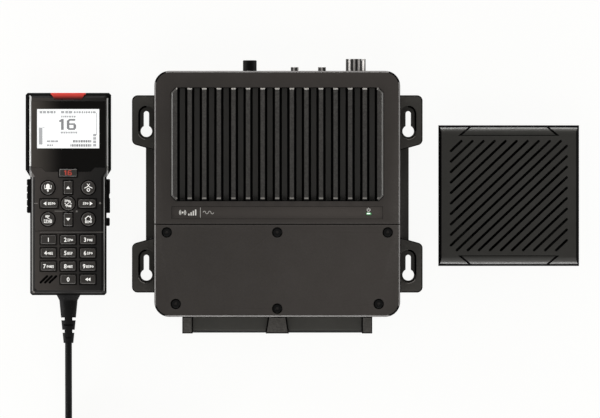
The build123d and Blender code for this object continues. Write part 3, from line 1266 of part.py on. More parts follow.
def speaker_cone():
    """Paper cone with its roll edge, dust cap and voice coil."""
    seat = BEZEL_Z0 + FLANGE_H + RIM_T
    back = BEZEL_Z0 + FLANGE_H - BASKET_DEPTH
    neck = back + 3 * RIM_T / 2
    skin = CONE_SKIN
    edge = CONE_R - 4
    voice_out = VOICE_R + skin / 2
    voice_in = VOICE_R - skin / 2
    cone = turned([(DRIVER_R - RIM_T, seat), (DRIVER_R - RIM_T, seat + skin), (CONE_R, seat + 2 * skin + 1),
                   (edge, seat + skin), (voice_out + skin, neck + skin), (voice_in, neck + skin),
                   (VOICE_R / 2, neck + 3 * skin), (0, neck + 4 * skin),
                   (0, neck + 3 * skin), (VOICE_R / 2, neck + 2 * skin), (voice_in, neck),
                   (voice_in, back - RIM_T), (voice_out, back - RIM_T), (voice_out, neck),
                   (edge, seat - skin / 4), (CONE_R, seat + skin + 1)])
    return Pos(SPK_X, SPK_Y) * cone


def build():
    """Every sub-part by its node name."""
    for maker in (mounting_plate, plate_screws, rear_chassis, cover_seal, top_cover, cable_cover,
                  cover_screws, heatsink, main_board, amplifier_module, terminal_block, power_lamp,
                  cable_grommets, antenna_socket, sma_sockets, data_socket, data_cap,
                  handset_rear_shell, handset_front_shell, display_lens, display_screen, handset_board,
                  key_membrane, volume_rocker, distress_cover, distress_button, earpiece,
                  handset_screws, strain_relief, handset_cord, cord_coil, cord_plug,
                  speaker_bezel, speaker_housing, speaker_screws, speaker_driver, speaker_cone):
        parts[maker.__name__] = maker()
    parts["ptt_button"] = side_key(-1, PTT_Y, PTT_TRAVEL, PTT_GRIPS)
    parts["power_button"] = side_key(1, SMALL_BUTTON_Y, SMALL_BUTTON_TRAVEL, 1)
    for name, plan in keys().items():
        parts[name] = keypad_key(plan)


build()
os.makedirs("parts", exist_ok=True)
for node, shape in parts.items():
    export_step(shape, f"parts/{node}.step")
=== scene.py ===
"""A marine radio set on a pale table: transceiver, wired handset and extension speaker."""

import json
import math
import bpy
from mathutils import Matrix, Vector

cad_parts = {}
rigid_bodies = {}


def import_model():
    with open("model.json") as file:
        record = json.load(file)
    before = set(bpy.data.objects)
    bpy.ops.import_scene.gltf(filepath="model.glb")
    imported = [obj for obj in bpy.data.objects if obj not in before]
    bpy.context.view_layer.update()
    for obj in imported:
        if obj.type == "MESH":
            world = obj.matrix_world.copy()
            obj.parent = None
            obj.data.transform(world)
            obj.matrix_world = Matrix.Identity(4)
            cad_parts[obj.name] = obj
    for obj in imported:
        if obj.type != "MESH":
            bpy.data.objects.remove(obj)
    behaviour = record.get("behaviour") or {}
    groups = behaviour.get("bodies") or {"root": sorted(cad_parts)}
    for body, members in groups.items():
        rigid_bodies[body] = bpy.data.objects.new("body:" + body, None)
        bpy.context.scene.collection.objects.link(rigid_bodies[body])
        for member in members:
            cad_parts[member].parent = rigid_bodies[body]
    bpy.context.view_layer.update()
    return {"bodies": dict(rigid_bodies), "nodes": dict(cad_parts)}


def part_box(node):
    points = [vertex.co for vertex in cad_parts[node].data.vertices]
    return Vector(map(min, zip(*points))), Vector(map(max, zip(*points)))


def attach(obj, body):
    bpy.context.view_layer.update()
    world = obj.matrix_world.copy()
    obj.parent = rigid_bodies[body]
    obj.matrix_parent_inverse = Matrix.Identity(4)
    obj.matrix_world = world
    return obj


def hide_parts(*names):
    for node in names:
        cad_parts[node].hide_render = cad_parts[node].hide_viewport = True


bl_info = {
    "name": "Marine radio set",
    "version": (1, 0, 0),
    "blender": (4, 5, 0),
    "location": "View3D > Sidebar > Radio",
    "description": "Dresses the packed marine radio set with its finishes, prints and lead",
    "category": "Object",
}

import bmesh
import bpy
from mathutils import Matrix, Vector

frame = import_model()
MM = 0.001
# Places and lengths are in millimetres, except where MM turns them into metres.
# Middles of the handset and of the aerial socket:
HS_X = -167.4
AERIAL_X = 63.4


# ---------------------------------------------------------------- sizes and colours
def shade(code):
    """A screen colour such as 0x3a3532 as linear red, green and blue."""
    parts = [(code >> shift & 255) / 255 for shift in (16, 8, 0)]
    return tuple(p / 12.92 if p <= 0.04045 else ((p + 0.055) / 1.055) ** 2.4 for p in parts)


def length_property(name, description, default):
    """A length in metres for the sidebar."""
    return bpy.props.FloatProperty(name=name, description=description, default=default,
                                   subtype="DISTANCE", unit="LENGTH", precision=5)


def colour_property(name, description, code):
    """A colour for the sidebar."""
    return bpy.props.FloatVectorProperty(name=name, description=description, default=shade(code),
                                         subtype="COLOR", size=3, min=0, max=1)


class RadioSizes(bpy.types.PropertyGroup):
    """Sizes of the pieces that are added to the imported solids."""
    metal_edge: length_property("Metal edge", "Radius of the cast covers' edges", 0.45 * MM)
    plastic_edge: length_property("Plastic edge", "Radius of the moulded shells' edges", 0.35 * MM)
    key_edge: length_property("Key edge", "Radius of the key caps' edges", 0.4 * MM)
    print_height: length_property("Print height", "Thickness of the printed marks", 0.05 * MM)
    lead_thickness: length_property("Lead thickness", "Diameter of the handset's lead", 5.5 * MM)
    lead_length: length_property("Lead length", "Length of the handset's lead", 1.14)


class RadioColours(bpy.types.PropertyGroup):
    """Colours of the set's finishes."""
    cover: colour_property("Cover", "Powder coat of the covers and chassis", 0x35312e)
    fins: colour_property("Fins", "Powder coat of the finned block", 0x2c2b29)
    plate: colour_property("Plate", "Powder coat of the mounting plate", 0x3d3b37)
    handset: colour_property("Handset", "Moulded plastic of the handset", 0x34302d)
    speaker: colour_property("Speaker", "Moulded plastic of the speaker", 0x2f2e2b)
    rubber: colour_property("Rubber", "Lead, bend relief, cap and seals", 0x0d0d0d)
    screw: colour_property("Screws", "Blackened screws", 0x0e0e0e)
    keys: colour_property("Keys", "Key caps", 0x35322f)
    marks: colour_property("Marks", "White prints on the keys", 0xf2f0ea)
    red: colour_property("Red", "Distress cover and button", 0xdc463c)


def settings():
    """The sidebar's sizes and colours."""
    return bpy.context.scene.radio_sizes, bpy.context.scene.radio_colours


# ---------------------------------------------------------------- shader node groups
def add_node(tree, kind, x, y, **values):
    """A shader node at a place, with its settings."""
    made = tree.nodes.new(kind)
    made.location = (x, y)
    for key, value in values.items():
        setattr(made, key, value)
    return made


def new_group(name, inputs, outputs):
    """An empty node group with named inputs and outputs, and its two end nodes."""
    group = bpy.data.node_groups.new(name, "ShaderNodeTree")
    for title, kind, default in inputs:
        socket = group.interface.new_socket(title, in_out="INPUT", socket_type=kind)
        if default is not None:
            socket.default_value = default
    for title, kind in outputs:
        group.interface.new_socket(title, in_out="OUTPUT", socket_type=kind)
    return group, add_node(group, "NodeGroupInput", -900, 0), add_node(group, "NodeGroupOutput", 700, 0)


def calculate(tree, operation, x, y, *values):
    """A Math node whose inputs are numbers or sockets."""
    made = add_node(tree, "ShaderNodeMath", x, y, operation=operation)
    for slot, value in zip(made.inputs, values):
        if isinstance(value, (int, float)):
            slot.default_value = value
        else:
            tree.links.new(value, slot)
    return made.outputs[0]


def noise(tree, vector, x, y, scale, detail=2.0, roughness=0.5):
    """A noise texture's value."""
    made = add_node(tree, "ShaderNodeTexNoise", x, y)
    tree.links.new(vector, made.inputs["Vector"])
    if isinstance(scale, (int, float)):
        made.inputs["Scale"].default_value = scale
    else:
        tree.links.new(scale, made.inputs["Scale"])
    made.inputs["Detail"].default_value = detail
    made.inputs["Roughness"].default_value = roughness
    return made.outputs["Fac"]


def remap(tree, value, x, y, low, high, new_low, new_high):
    """A value's span moved to another span, held at its ends."""
    made = add_node(tree, "ShaderNodeMapRange", x, y)
    tree.links.new(value, made.inputs["Value"])
    for title, number in (("From Min", low), ("From Max", high), ("To Min", new_low), ("To Max", new_high)):
        made.inputs[title].default_value = number
    return made.outputs["Result"]


def surface_grain_group():
    """Fine pebbled grain with slow drift in tone, as powder coat and moulded plastic have."""
    group, start, end = new_group(
        "surface grain",
        [("Vector", "NodeSocketVector", None), ("Grain Scale", "NodeSocketFloat", 1800.0)],
        [("Height", "NodeSocketFloat"), ("Tone", "NodeSocketFloat")])
    place, scale = start.outputs["Vector"], start.outputs["Grain Scale"]
    fine = noise(group, place, -500, 200, scale, 3.0, 0.6)
    pebbles = add_node(group, "ShaderNodeTexVoronoi", -500, -60, feature="SMOOTH_F1")
    group.links.new(place, pebbles.inputs["Vector"])
    group.links.new(calculate(group, "MULTIPLY", -700, -100, scale, 0.45), pebbles.inputs["Scale"])
    height = calculate(group, "ADD", 200, 100, fine, pebbles.outputs["Distance"])
    drift = noise(group, place, -500, -320, 22.0, 3.0, 0.55)
    mottle = noise(group, place, -500, -520, 260.0, 2.0, 0.5)
    slow = calculate(group, "MULTIPLY", -200, -320, drift, 0.65)
    tone = calculate(group, "MULTIPLY_ADD", 0, -380, mottle, 0.35, slow)
    group.links.new(height, end.inputs["Height"])
    group.links.new(remap(group, tone, 300, -300, 0.3, 0.7, 0.0, 1.0), end.inputs["Tone"])
    return group


def handling_marks_group():
    """Faint wipe marks, hairline scratches and settled dust."""
    group, start, end = new_group(
        "handling marks",
        [("Vector", "NodeSocketVector", None)],
        [("Scratches", "NodeSocketFloat"), ("Dust", "NodeSocketFloat"), ("Smudges", "NodeSocketFloat")])
    place = start.outputs["Vector"]
    turned = add_node(group, "ShaderNodeMapping", -680, 260)
    turned.inputs["Rotation"].default_value = (0.0, 0.0, 0.6)
    turned.inputs["Scale"].default_value = (40.0, 1500.0, 60.0)
    group.links.new(place, turned.inputs["Vector"])
    lines = noise(group, turned.outputs["Vector"], -420, 260, 1.0, 1.0, 0.4)
    patches = noise(group, place, -420, 60, 30.0, 2.0, 0.5)
    hair = remap(group, lines, -180, 260, 0.70, 0.78, 0.0, 1.0)
    where = remap(group, patches, -180, 60, 0.45, 0.62, 0.0, 1.0)
    group.links.new(calculate(group, "MULTIPLY", 120, 200, hair, where), end.inputs["Scratches"])
    specks = add_node(group, "ShaderNodeTexVoronoi", -420, -160, feature="F1")
    specks.inputs["Scale"].default_value = 420.0
    group.links.new(place, specks.inputs["Vector"])
    dust = remap(group, specks.outputs["Distance"], -180, -160, 0.05, 0.09, 1.0, 0.0)
    group.links.new(dust, end.inputs["Dust"])
    wipes = noise(group, place, -420, -380, 55.0, 4.0, 0.6)
    group.links.new(remap(group, wipes, -180, -380, 0.42, 0.68, 0.0, 1.0), end.inputs["Smudges"])
    return group


def rim_wear_group():
    """Where the finish is thin: broken patches along a piece's convex edges."""
    group, start, end = new_group(
        "rim wear",
        [("Vector", "NodeSocketVector", None), ("Reach", "NodeSocketFloat", 0.06)],
        [("Wear", "NodeSocketFloat")])
    shape = add_node(group, "ShaderNodeNewGeometry", -560, 160)
    convex = calculate(group, "SUBTRACT", -340, 160, shape.outputs["Pointiness"], 0.52)
    edge = calculate(group, "DIVIDE", -160, 160, convex, start.outputs["Reach"])
    broken = noise(group, start.outputs["Vector"], -340, -80, 700.0, 3.0, 0.6)
    patches = remap(group, broken, -140, -80, 0.4, 0.6, 0.3, 1.0)
    rough_edge = calculate(group, "MULTIPLY", 40, 80, edge, patches)
    raised = calculate(group, "MAXIMUM", 200, 80, rough_edge, 0.0)
    group.links.new(calculate(group, "MINIMUM", 300, 80, raised, 1.0), end.inputs["Wear"])
    return group


SHARED_GROUPS = {}


def shared(build):
    """A node group that is built once and then used again."""
    if build.__name__ not in SHARED_GROUPS:
        SHARED_GROUPS[build.__name__] = build()
    return SHARED_GROUPS[build.__name__]


# ---------------------------------------------------------------- finishes
AERIAL_STRIPES = 3.7
STRIPE_WAVE = (-0.7, 0.2)  # the cosines where a stripe's fall begins and ends
SCRATCH_ROUGHNESS = 0.06
DUST_COLOUR = (0.45, 0.43, 0.4)


def blend_colours(tree, factor, first, second, x, y):
    """Two colours mixed by a mask. Each is a colour or a socket."""
    made = add_node(tree, "ShaderNodeMix", x, y, data_type="RGBA")
    tree.links.new(factor, made.inputs[0])
    for slot, value in ((made.inputs[6], first), (made.inputs[7], second)):
        if isinstance(value, bpy.types.NodeSocket):
            tree.links.new(value, slot)
        else:
            slot.default_value = (*value, 1)
    return made.outputs[2]


def shaded(tree, colour, tone, x, y):
    """A colour socket made lighter or darker by a value that changes over the surface."""
    made = add_node(tree, "ShaderNodeMix", x, y, data_type="RGBA", blend_type="MULTIPLY")
    made.inputs[0].default_value = 1.0
    tree.links.new(colour, made.inputs[6])
    tree.links.new(tone, made.inputs[7])
    return made.outputs[2]


def scaled(colour, amount):
    """A colour made lighter or darker."""
    return tuple(min(1.0, part * amount) for part in colour)


class Finish:
    """A material under way: its tree, its shader and the shared masks."""

    def __init__(self, name, grain_scale):
        self.material = bpy.data.materials.new(name)
        self.material.use_nodes = True
        self.tree = self.material.node_tree
        self.shader = self.tree.nodes["Principled BSDF"]
        self.place = add_node(self.tree, "ShaderNodeTexCoord", -1300, 0).outputs["Object"]
        self.grain = self.group(surface_grain_group, -1050, 200)
        self.grain.inputs["Grain Scale"].default_value = grain_scale
        self.marks = self.group(handling_marks_group, -1050, -100)
        self.wear = self.group(rim_wear_group, -1050, -400)
        self.tone = None

    def group(self, build, x, y):
        """A shared group placed in this material."""
        made = add_node(self.tree, "ShaderNodeGroup", x, y)
        made.node_tree = shared(build)
        self.tree.links.new(self.place, made.inputs["Vector"])
        return made

    def fade(self, start, end, first, last, axis="X"):
        """Paints light falling off across the piece: the colour runs from one strength to another between two
        places, in millimetres.
        """
        parts = add_node(self.tree, "ShaderNodeSeparateXYZ", -1050, 480)
        self.tree.links.new(self.place, parts.inputs[0])
        self.tone = remap(self.tree, parts.outputs[axis], -860, 480, start * MM, end * MM, first, last)
        self.tone.node.interpolation_type = "SMOOTHSTEP"
        return self

    def stripes(self, middle, pitch, dark):
        """Paints dark stripes at even places across the piece, in millimetres: painted shade of knurling's
        grooves.
        """
        parts = add_node(self.tree, "ShaderNodeSeparateXYZ", -1050, 480)
        self.tree.links.new(self.place, parts.inputs[0])
        turns = 2 * math.pi / (pitch * MM)
        start = -turns * middle * MM
        angle = calculate(self.tree, "MULTIPLY_ADD", -900, 480, parts.outputs["X"], turns, start)
        wave = calculate(self.tree, "COSINE", -800, 480, angle)
        rows = remap(self.tree, wave, -700, 480, *STRIPE_WAVE, 1.0, dark)
        facing = add_node(self.tree, "ShaderNodeSeparateXYZ", -1050, 640)
        self.tree.links.new(self.place.node.outputs["Normal"], facing.inputs[0])
        end_face = calculate(self.tree, "ABSOLUTE", -900, 640, facing.outputs["Y"])
        self.tone = calculate(self.tree, "MAXIMUM", -560, 560, rows, end_face)
        return self

    def colour(self, base, drift=0.12, dust=0.0, wear_and_glint=None, wear=0.0):
        """Base colour with slow drift, dust and worn rims."""
        out = blend_colours(self.tree, self.grain.outputs["Tone"], scaled(base, 1 - drift),
                            scaled(base, 1 + drift), -760, 300)
        if self.tone:
            out = shaded(self.tree, out, self.tone, -660, 420)
        if dust:
            amount = calculate(self.tree, "MULTIPLY", -700, 60, self.marks.outputs["Dust"], dust)
            out = blend_colours(self.tree, amount, out, DUST_COLOUR, -560, 240)
        if wear_and_glint:
            amount = calculate(self.tree, "MULTIPLY", -560, 20, self.wear.outputs["Wear"], wear)
            out = blend_colours(self.tree, amount, out, wear_and_glint, -380, 200)
        self.tree.links.new(out, self.shader.inputs["Base Color"])
        return self

    def gloss(self, low, high):
        """Roughness that drifts with smudges and rises in scratches."""
        base = remap(self.tree, self.marks.outputs["Smudges"], -760, -120, 0.0, 1.0, low, high)
        hair = self.marks.outputs["Scratches"]
        out = calculate(self.tree, "MULTIPLY_ADD", -520, -120, hair, SCRATCH_ROUGHNESS, base)
        self.tree.links.new(out, self.shader.inputs["Roughness"])
        return self

    def relief(self, strength, distance):
        """The grain as bumps."""
        bump = add_node(self.tree, "ShaderNodeBump", -260, -340)
        bump.inputs["Strength"].default_value = strength
        bump.inputs["Distance"].default_value = distance
        self.tree.links.new(self.grain.outputs["Height"], bump.inputs["Height"])
        self.tree.links.new(bump.outputs["Normal"], self.shader.inputs["Normal"])
        return self

    def skin(self, gloss, relief, **numbers):
        """Gloss from low to high, relief of a strength and a depth in metres, and numbers unlike a coat's."""
        return self.gloss(*gloss).relief(*relief).values(**(numbers or COAT))

    def values(self, **numbers):
        """Plain numbers and colours on the shader's own sockets."""
        for key, value in numbers.items():
            self.shader.inputs[key.replace("_", " ")].default_value = value
        return self.material


MATERIALS = {}
# Where painted light falls off across a piece, from one place to another.
COVER_SPAN = (-80, 80)
LABEL_SPAN = (-84, 60)
HANDSET_SPAN = (-196, -139)
PANE_SPAN = (-200, -171)
LIP_SPAN = (83.2, 87.4)
WORN_COAT = (0.16, 0.15, 0.14)
WORN_STEEL = (0.3, 0.29, 0.28)


def specular(level):
    """How strongly a shader mirrors."""
    return {"Specular_IOR_Level": level}


def glowing(colour, strength):
    """A shader's light of its own."""
    return {"Emission_Color": (*colour, 1), "Emission_Strength": strength}


COAT = specular(0.3)


def coat_finishes(made, colour):
    """Powder coats of the transceiver."""
    # Painted light: the coat is painted lighter towards the right.
    made["cover"] = Finish("powder coat", 1500).fade(*COVER_SPAN, 1.05, 1.3) \
        .colour(colour.cover, 0.07, 0.05, WORN_COAT, 0.35).skin((0.40, 0.50), (0.16, 0.00012))
    # Painted highlight: the bevels take a lighter and glossier copy of the coat.
    made["cover rim highlight"] = Finish("powder coat rim, painted highlight", 1500).colour(scaled(colour.cover, 1.4), 0.1) \
        .skin((0.34, 0.42), (0.05, 0.0001), **specular(0.34))
    # Painted light: the label strip, lighter than the cover in its own colour, is painted lighter still
    # towards the right.
    made["label"] = Finish("label strip", 1500).fade(*LABEL_SPAN, 0.95, 1.35) \
        .colour(scaled(colour.cover, 1.38), 0.05, 0.04).skin((0.42, 0.50), (0.10, 0.0001))
    made["plate"] = Finish("plate coat", 1400).colour(colour.plate, 0.08, 0.05, WORN_COAT, 0.4) \
        .skin((0.40, 0.50), (0.18, 0.00012))
    made["fins"] = Finish("fin coat", 1500).colour(colour.fins, 0.07, 0.03, WORN_COAT, 0.3) \
        .skin((0.42, 0.52), (0.16, 0.00012))
    # Painted light: the groove floors take a much lighter copy of the fin coat, with a little dust.
    made["groove"] = Finish("groove coat", 1500).colour(scaled(colour.fins, 2.6), 0.07, 0.05) \
        .skin((0.45, 0.55), (0.16, 0.00012))
    # Painted highlight on the fins' ends and on a band near their low end.
    made["fin end highlight"] = Finish("painted fin end highlight", 1500).colour(shade(0x827f7a), 0.08) \
        .skin((0.34, 0.42), (0.05, 0.0001), **specular(0.5))
    # Painted highlight: the finned block's side chamfers take a much lighter copy of the fin coat.
    made["sink rim highlight"] = Finish("finned block rim, painted highlight", 1500).colour(scaled(colour.fins, 2.7), 0.08) \
        .skin((0.34, 0.42), (0.05, 0.0001), **specular(0.7))


def plastic_finishes(made, colour):
    """Moulded plastics and rubbers."""
    # Painted light: the handset's face is painted lighter on the left and darker on the right.
    made["handset"] = Finish("handset plastic", 2600).fade(*HANDSET_SPAN, 1.4, 0.2) \
        .colour(colour.handset, 0.06, 0.04).skin((0.42, 0.52), (0.12, 0.00008))
    # Painted highlight: the shell's rim lines, painted lighter towards the right.
    made["handset rim highlight"] = Finish("handset rim, painted highlight", 2600).fade(*HANDSET_SPAN, 1.0, 4.5) \
        .colour(shade(0x434240), 0.06).skin((0.30, 0.38), (0.04, 0.00008), **specular(0.9))
    # Painted highlight: a near-white strip on the bevels of the handset's head.
    made["head rim highlight"] = Finish("painted highlight strip", 2600).colour(shade(0xd0d0ce), 0.04) \
        .skin((0.28, 0.34), (0.03, 0.00005), Metallic=0.3)
    # Painted shade: the red cover is painted dark along its edge towards the display.
    made["red lip"] = Finish("red cover", 2400).fade(*LIP_SPAN, 0.08, 1.1, "Y") \
        .colour(colour.red, 0.05, 0.02).skin((0.30, 0.42), (0.06, 0.00005))
    made["red"] = Finish("red moulding", 2400).colour(colour.red, 0.06, 0.02) \
        .skin((0.30, 0.42), (0.06, 0.00005))
    made["speaker"] = Finish("speaker plastic", 2000).colour(colour.speaker, 0.08, 0.05) \
        .skin((0.38, 0.48), (0.14, 0.0001))
    # Painted highlight on the bezel's rolled ends.
    made["speaker rim highlight"] = Finish("speaker rim, painted highlight", 2000).colour(scaled(colour.speaker, 1.2), 0.08) \
        .skin((0.34, 0.40), (0.01, 0.0001), **specular(0.5))
    # Painted sheen: a lighter copy of the plastic on the rolled ends beside the highlight.
    made["speaker roll painted sheen"] = Finish("speaker roll painted sheen", 2000).colour(scaled(colour.speaker, 1.35), 0.06, 0.03) \
        .skin((0.40, 0.48), (0.08, 0.0001))
    made["keys"] = Finish("key rubber", 2600).colour(colour.keys, 0.06, 0.04) \
        .skin((0.44, 0.54), (0.10, 0.00006))
    # Painted highlight: the keys' slopes and rounded edges take a lighter, glossier copy of the rubber.
    made["key rim highlight"] = Finish("key rubber rim, painted highlight", 2600).colour(scaled(colour.keys, 1.35), 0.1) \
        .skin((0.30, 0.40), (0.05, 0.00005), **specular(0.7))
    made["channel cap"] = Finish("smoked cap", 2600).colour(shade(0x31312e), 0.06) \
        .skin((0.3, 0.4), (0.05, 0.00005), **specular(0.4))
    # The black parts' own colour; on the handset's front shell it is painted shade on the flanks and rolled
    # edges.
    made["moulded black and painted shade"] = Finish("black plastic and painted shade", 1800).colour(shade(0x181716), 0.1, 0.05) \
        .skin((0.5, 0.6), (0.12, 0.0001), **specular(0.1))
    # Near black: the speaker driver's own colour, and painted shade on corners, flanks, slot walls, key gaps,
    # outlines and rounded edges elsewhere.
    made["black and painted shade"] = Finish("near-black paint and painted shade", 2200).colour(shade(0x0b0b0b), 0.15, 0.05) \
        .skin((0.6, 0.7), (0.12, 0.0001), IOR=1.1, **specular(0.04))
    made["rubber"] = Finish("soft rubber", 2200).colour(colour.rubber, 0.12, 0.12) \
        .skin((0.55, 0.66), (0.12, 0.0001), **specular(0.1))
    made["grommet"] = Finish("seal rubber", 2200).colour(shade(0x42413d), 0.1, 0.05) \
        .skin((0.50, 0.62), (0.12, 0.0001))


def metal_finishes(made, colour):
    """Screws, sockets, boards and the speaker's cone."""
    made["screw"] = Finish("blackened steel", 2400).colour(colour.screw, 0.15, 0.0, WORN_STEEL, 0.5) \
        .skin((0.28, 0.42), (0.06, 0.00005), Metallic=0.6)
    # Painted highlight: the sockets' floors are painted lighter than the heads.
    made["screw socket highlight"] = Finish("screw socket, painted highlight", 2400).colour(shade(0x3a3633), 0.1) \
        .skin((0.4, 0.5), (0.06, 0.00005))
    made["steel"] = Finish("bright steel", 2400).colour((0.5, 0.5, 0.49), 0.1) \
        .skin((0.2, 0.35), (0.05, 0.00005), Metallic=1.0)
    # Painted shade: dark stripes across the socket stand for the shade in its knurling.
    made["nickel"] = Finish("nickel plate", 2400).stripes(AERIAL_X, AERIAL_STRIPES, 0.06) \
        .colour((0.56, 0.54, 0.52), 0.12).skin((0.5, 0.6), (0.05, 0.00005), Metallic=0.75)
    made["board"] = Finish("green board", 1200).colour(shade(0x1d4a33), 0.18, 0.03) \
        .skin((0.30, 0.45), (0.2, 0.00008))
    made["cone"] = Finish("pressed paper", 900).colour(shade(0x0f0e0e), 0.2, 0.05) \
        .skin((0.75, 0.88), (0.4, 0.0002))


def print_finishes(made, colour):
    """Inks of the printed marks."""
    for name, title, ink, drift, values in (
            # The white key marks glow a little: painted light.
            ("marks", "printed white", colour.marks, 0.03, glowing((1, 1, 1), 0.3)),
            ("dim marks", "printed grey", shade(0x827e7a), 0.05, COAT),
            ("label marks", "printed label", shade(0xe8e6e0), 0.03, COAT),
            ("fine marks", "printed fine lines", shade(0xb8b5b0), 0.03, COAT),
            ("red print", "printed red", shade(0xbe4a3c), 0.05, COAT)):
        made[name] = Finish(title, 3000).colour(ink, drift).skin((0.45, 0.55), (0.05, 0.00003), **values)


def light_finishes(made):
    """Panes, lamps and the lit display."""
    # Painted reflection: the dark pane is painted lighter at its left end.
    made["lens"] = Finish("dark glass", 900).fade(*PANE_SPAN, 1.1, 0.06).colour(shade(0x46423e), 0.08) \
        .skin((0.06, 0.11), (0.01, 0.00002), **specular(0.15))
    made["clear window"] = Finish("clear window", 900).colour((0.96, 0.97, 0.97), 0.01) \
        .gloss(0.02, 0.05).values(Transmission_Weight=1.0, IOR=1.25)
    made["lamp"] = Finish("lamp window", 1500).colour(shade(0x4a7a50), 0.1) \
        .skin((0.3, 0.4), (0.03, 0.00003), **glowing((0.12, 0.4, 0.16), 0.35))
    made["lamp core"] = Finish("lit lamp", 1500).colour(shade(0xd8f0dc), 0.05) \
        .skin((0.3, 0.4), (0.03, 0.00003), **glowing((0.75, 1.0, 0.8), 0.9))
    made["screen"] = Finish("backlit screen", 2400).colour(shade(0x8a8a8a), 0.02) \
        .skin((0.3, 0.35), (0.02, 0.00002), **glowing((1.0, 1.0, 0.99), 1.0))
    for name, title, light in (("screen ink", "dark display sign", 0x8d8d8f),
                               ("screen grey", "pale display sign", 0xb9b9bb)):
        made[name] = Finish(title, 2400).colour(shade(0x202020), 0.05) \
            .skin((0.5, 0.6), (0.02, 0.00002), **glowing(shade(light), 0.95))


def make_materials():
    """Every finish of the set, by name."""
    _, colour = settings()
    coat_finishes(MATERIALS, colour)
    plastic_finishes(MATERIALS, colour)
    metal_finishes(MATERIALS, colour)
    print_finishes(MATERIALS, colour)
    light_finishes(MATERIALS)


# ---------------------------------------------------------------- mesh helpers
SCREW_EDGE = 0.2 * MM
SOCKET_EDGE = 0.2 * MM
SMALL_SOCKET_EDGE = 0.15 * MM
SOFT_EDGE = 0.3 * MM
GROMMET_EDGE = 0.5 * MM
PANE_EDGE = 0.25 * MM
SHARP_ANGLE = math.radians(30)
FLAT_ANGLE = math.radians(0.6)
WELD = 0.002 * MM
CUT_GAP = 1e-7  # metres
# How far a face looks up: its normal's height at least, or at most for an upright one.
LEVEL = 0.96
SLANTED = 0.3
UPRIGHT = 0.1


def body_for(node):
    """The body that a node rides on."""
    return f"{node}_body" if f"{node}_body" in frame["bodies"] else "set"


def new_piece(name, shape, materials, body):
    """An object made from a bmesh, with its materials, body and finish slot."""
    mesh = bpy.data.meshes.new(name)
    shape.to_mesh(mesh)
    shape.free()
    piece = bpy.data.objects.new(name, mesh)
    bpy.context.collection.objects.link(piece)
    for material in materials:
        mesh.materials.append(MATERIALS[material])
    mesh.polygons.foreach_set("use_smooth", [True] * len(mesh.polygons))
    mesh.set_sharp_from_angle(angle=SHARP_ANGLE)
    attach(piece, body)
    return piece


def clean_copy(node):
    """A node's shape as a bmesh with its loose triangles merged into whole faces."""
    shape = bmesh.new()
    shape.from_mesh(frame["nodes"][node].data)
    bmesh.ops.remove_doubles(shape, verts=shape.verts, dist=WELD)
    bmesh.ops.dissolve_limit(shape, angle_limit=FLAT_ANGLE, verts=shape.verts, edges=shape.edges)
    return shape


def cut_plane(shape, parts, place, normal):
    """Cuts some parts of a shape at a flat plane through a place in millimetres."""
    bmesh.ops.bisect_plane(shape, geom=parts, dist=CUT_GAP, plane_co=place * MM, plane_no=normal)


def cut_across(shape, axis, places):
    """Cuts every face at flat planes across one axis, at places in millimetres."""
    for place in places:
        everything = shape.verts[:] + shape.edges[:] + shape.faces[:]
        cut_plane(shape, everything, Vector(axis) * place, axis)


def mark_slopes(shape):
    """Puts the slanted faces in the second material, which paints a highlight or a shade on them."""
    for face in shape.faces:
        if SLANTED < face.normal.z < LEVEL:
            face.material_index = 1


def round_edges(piece, width, angle=30, rim=-1):
    """Small rounded edges that catch the light, in the piece's material of that number."""
    bevel = piece.modifiers.new("rounded edges", "BEVEL")
    bevel.width = width
    bevel.segments = 2
    bevel.limit_method = "ANGLE"
    bevel.angle_limit = math.radians(angle)
    bevel.material = rim
    weighted = piece.modifiers.new("even shading", "WEIGHTED_NORMAL")
    weighted.keep_sharp = True


def rounded_node(node, finishes, width, angle=30, mark=None, rim=None):
    """A node with rounded edges that stands for the plain one. The edges may have a finish of their own."""
    shape = clean_copy(node)
    if mark:
        mark(shape)
    piece = new_piece(f"{node}_rounded", shape, finishes, body_for(node))
    round_edges(piece, width, angle, finishes.index(rim) if rim else -1)
    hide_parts(node)
    return piece


def paint_node(node, material):
    """A finish on a node that keeps its own mesh."""
    for slot in frame["nodes"][node].material_slots:
        slot.material = MATERIALS[material]


# ---------------------------------------------------------------- prints
MARK_STEP = 0.002
MARK_SINK = 0.03
DISC_CORNERS = 24
FILLER_HEIGHT = 2.1
FILLER_WIDTH = 0.55  # a filler sign's width as a share of its height
FILLER_PITCH = 1.5
FILLER_LINE = 0.46
FIGURE_SHARE = 0.73  # a figure's height as a share of the type's size


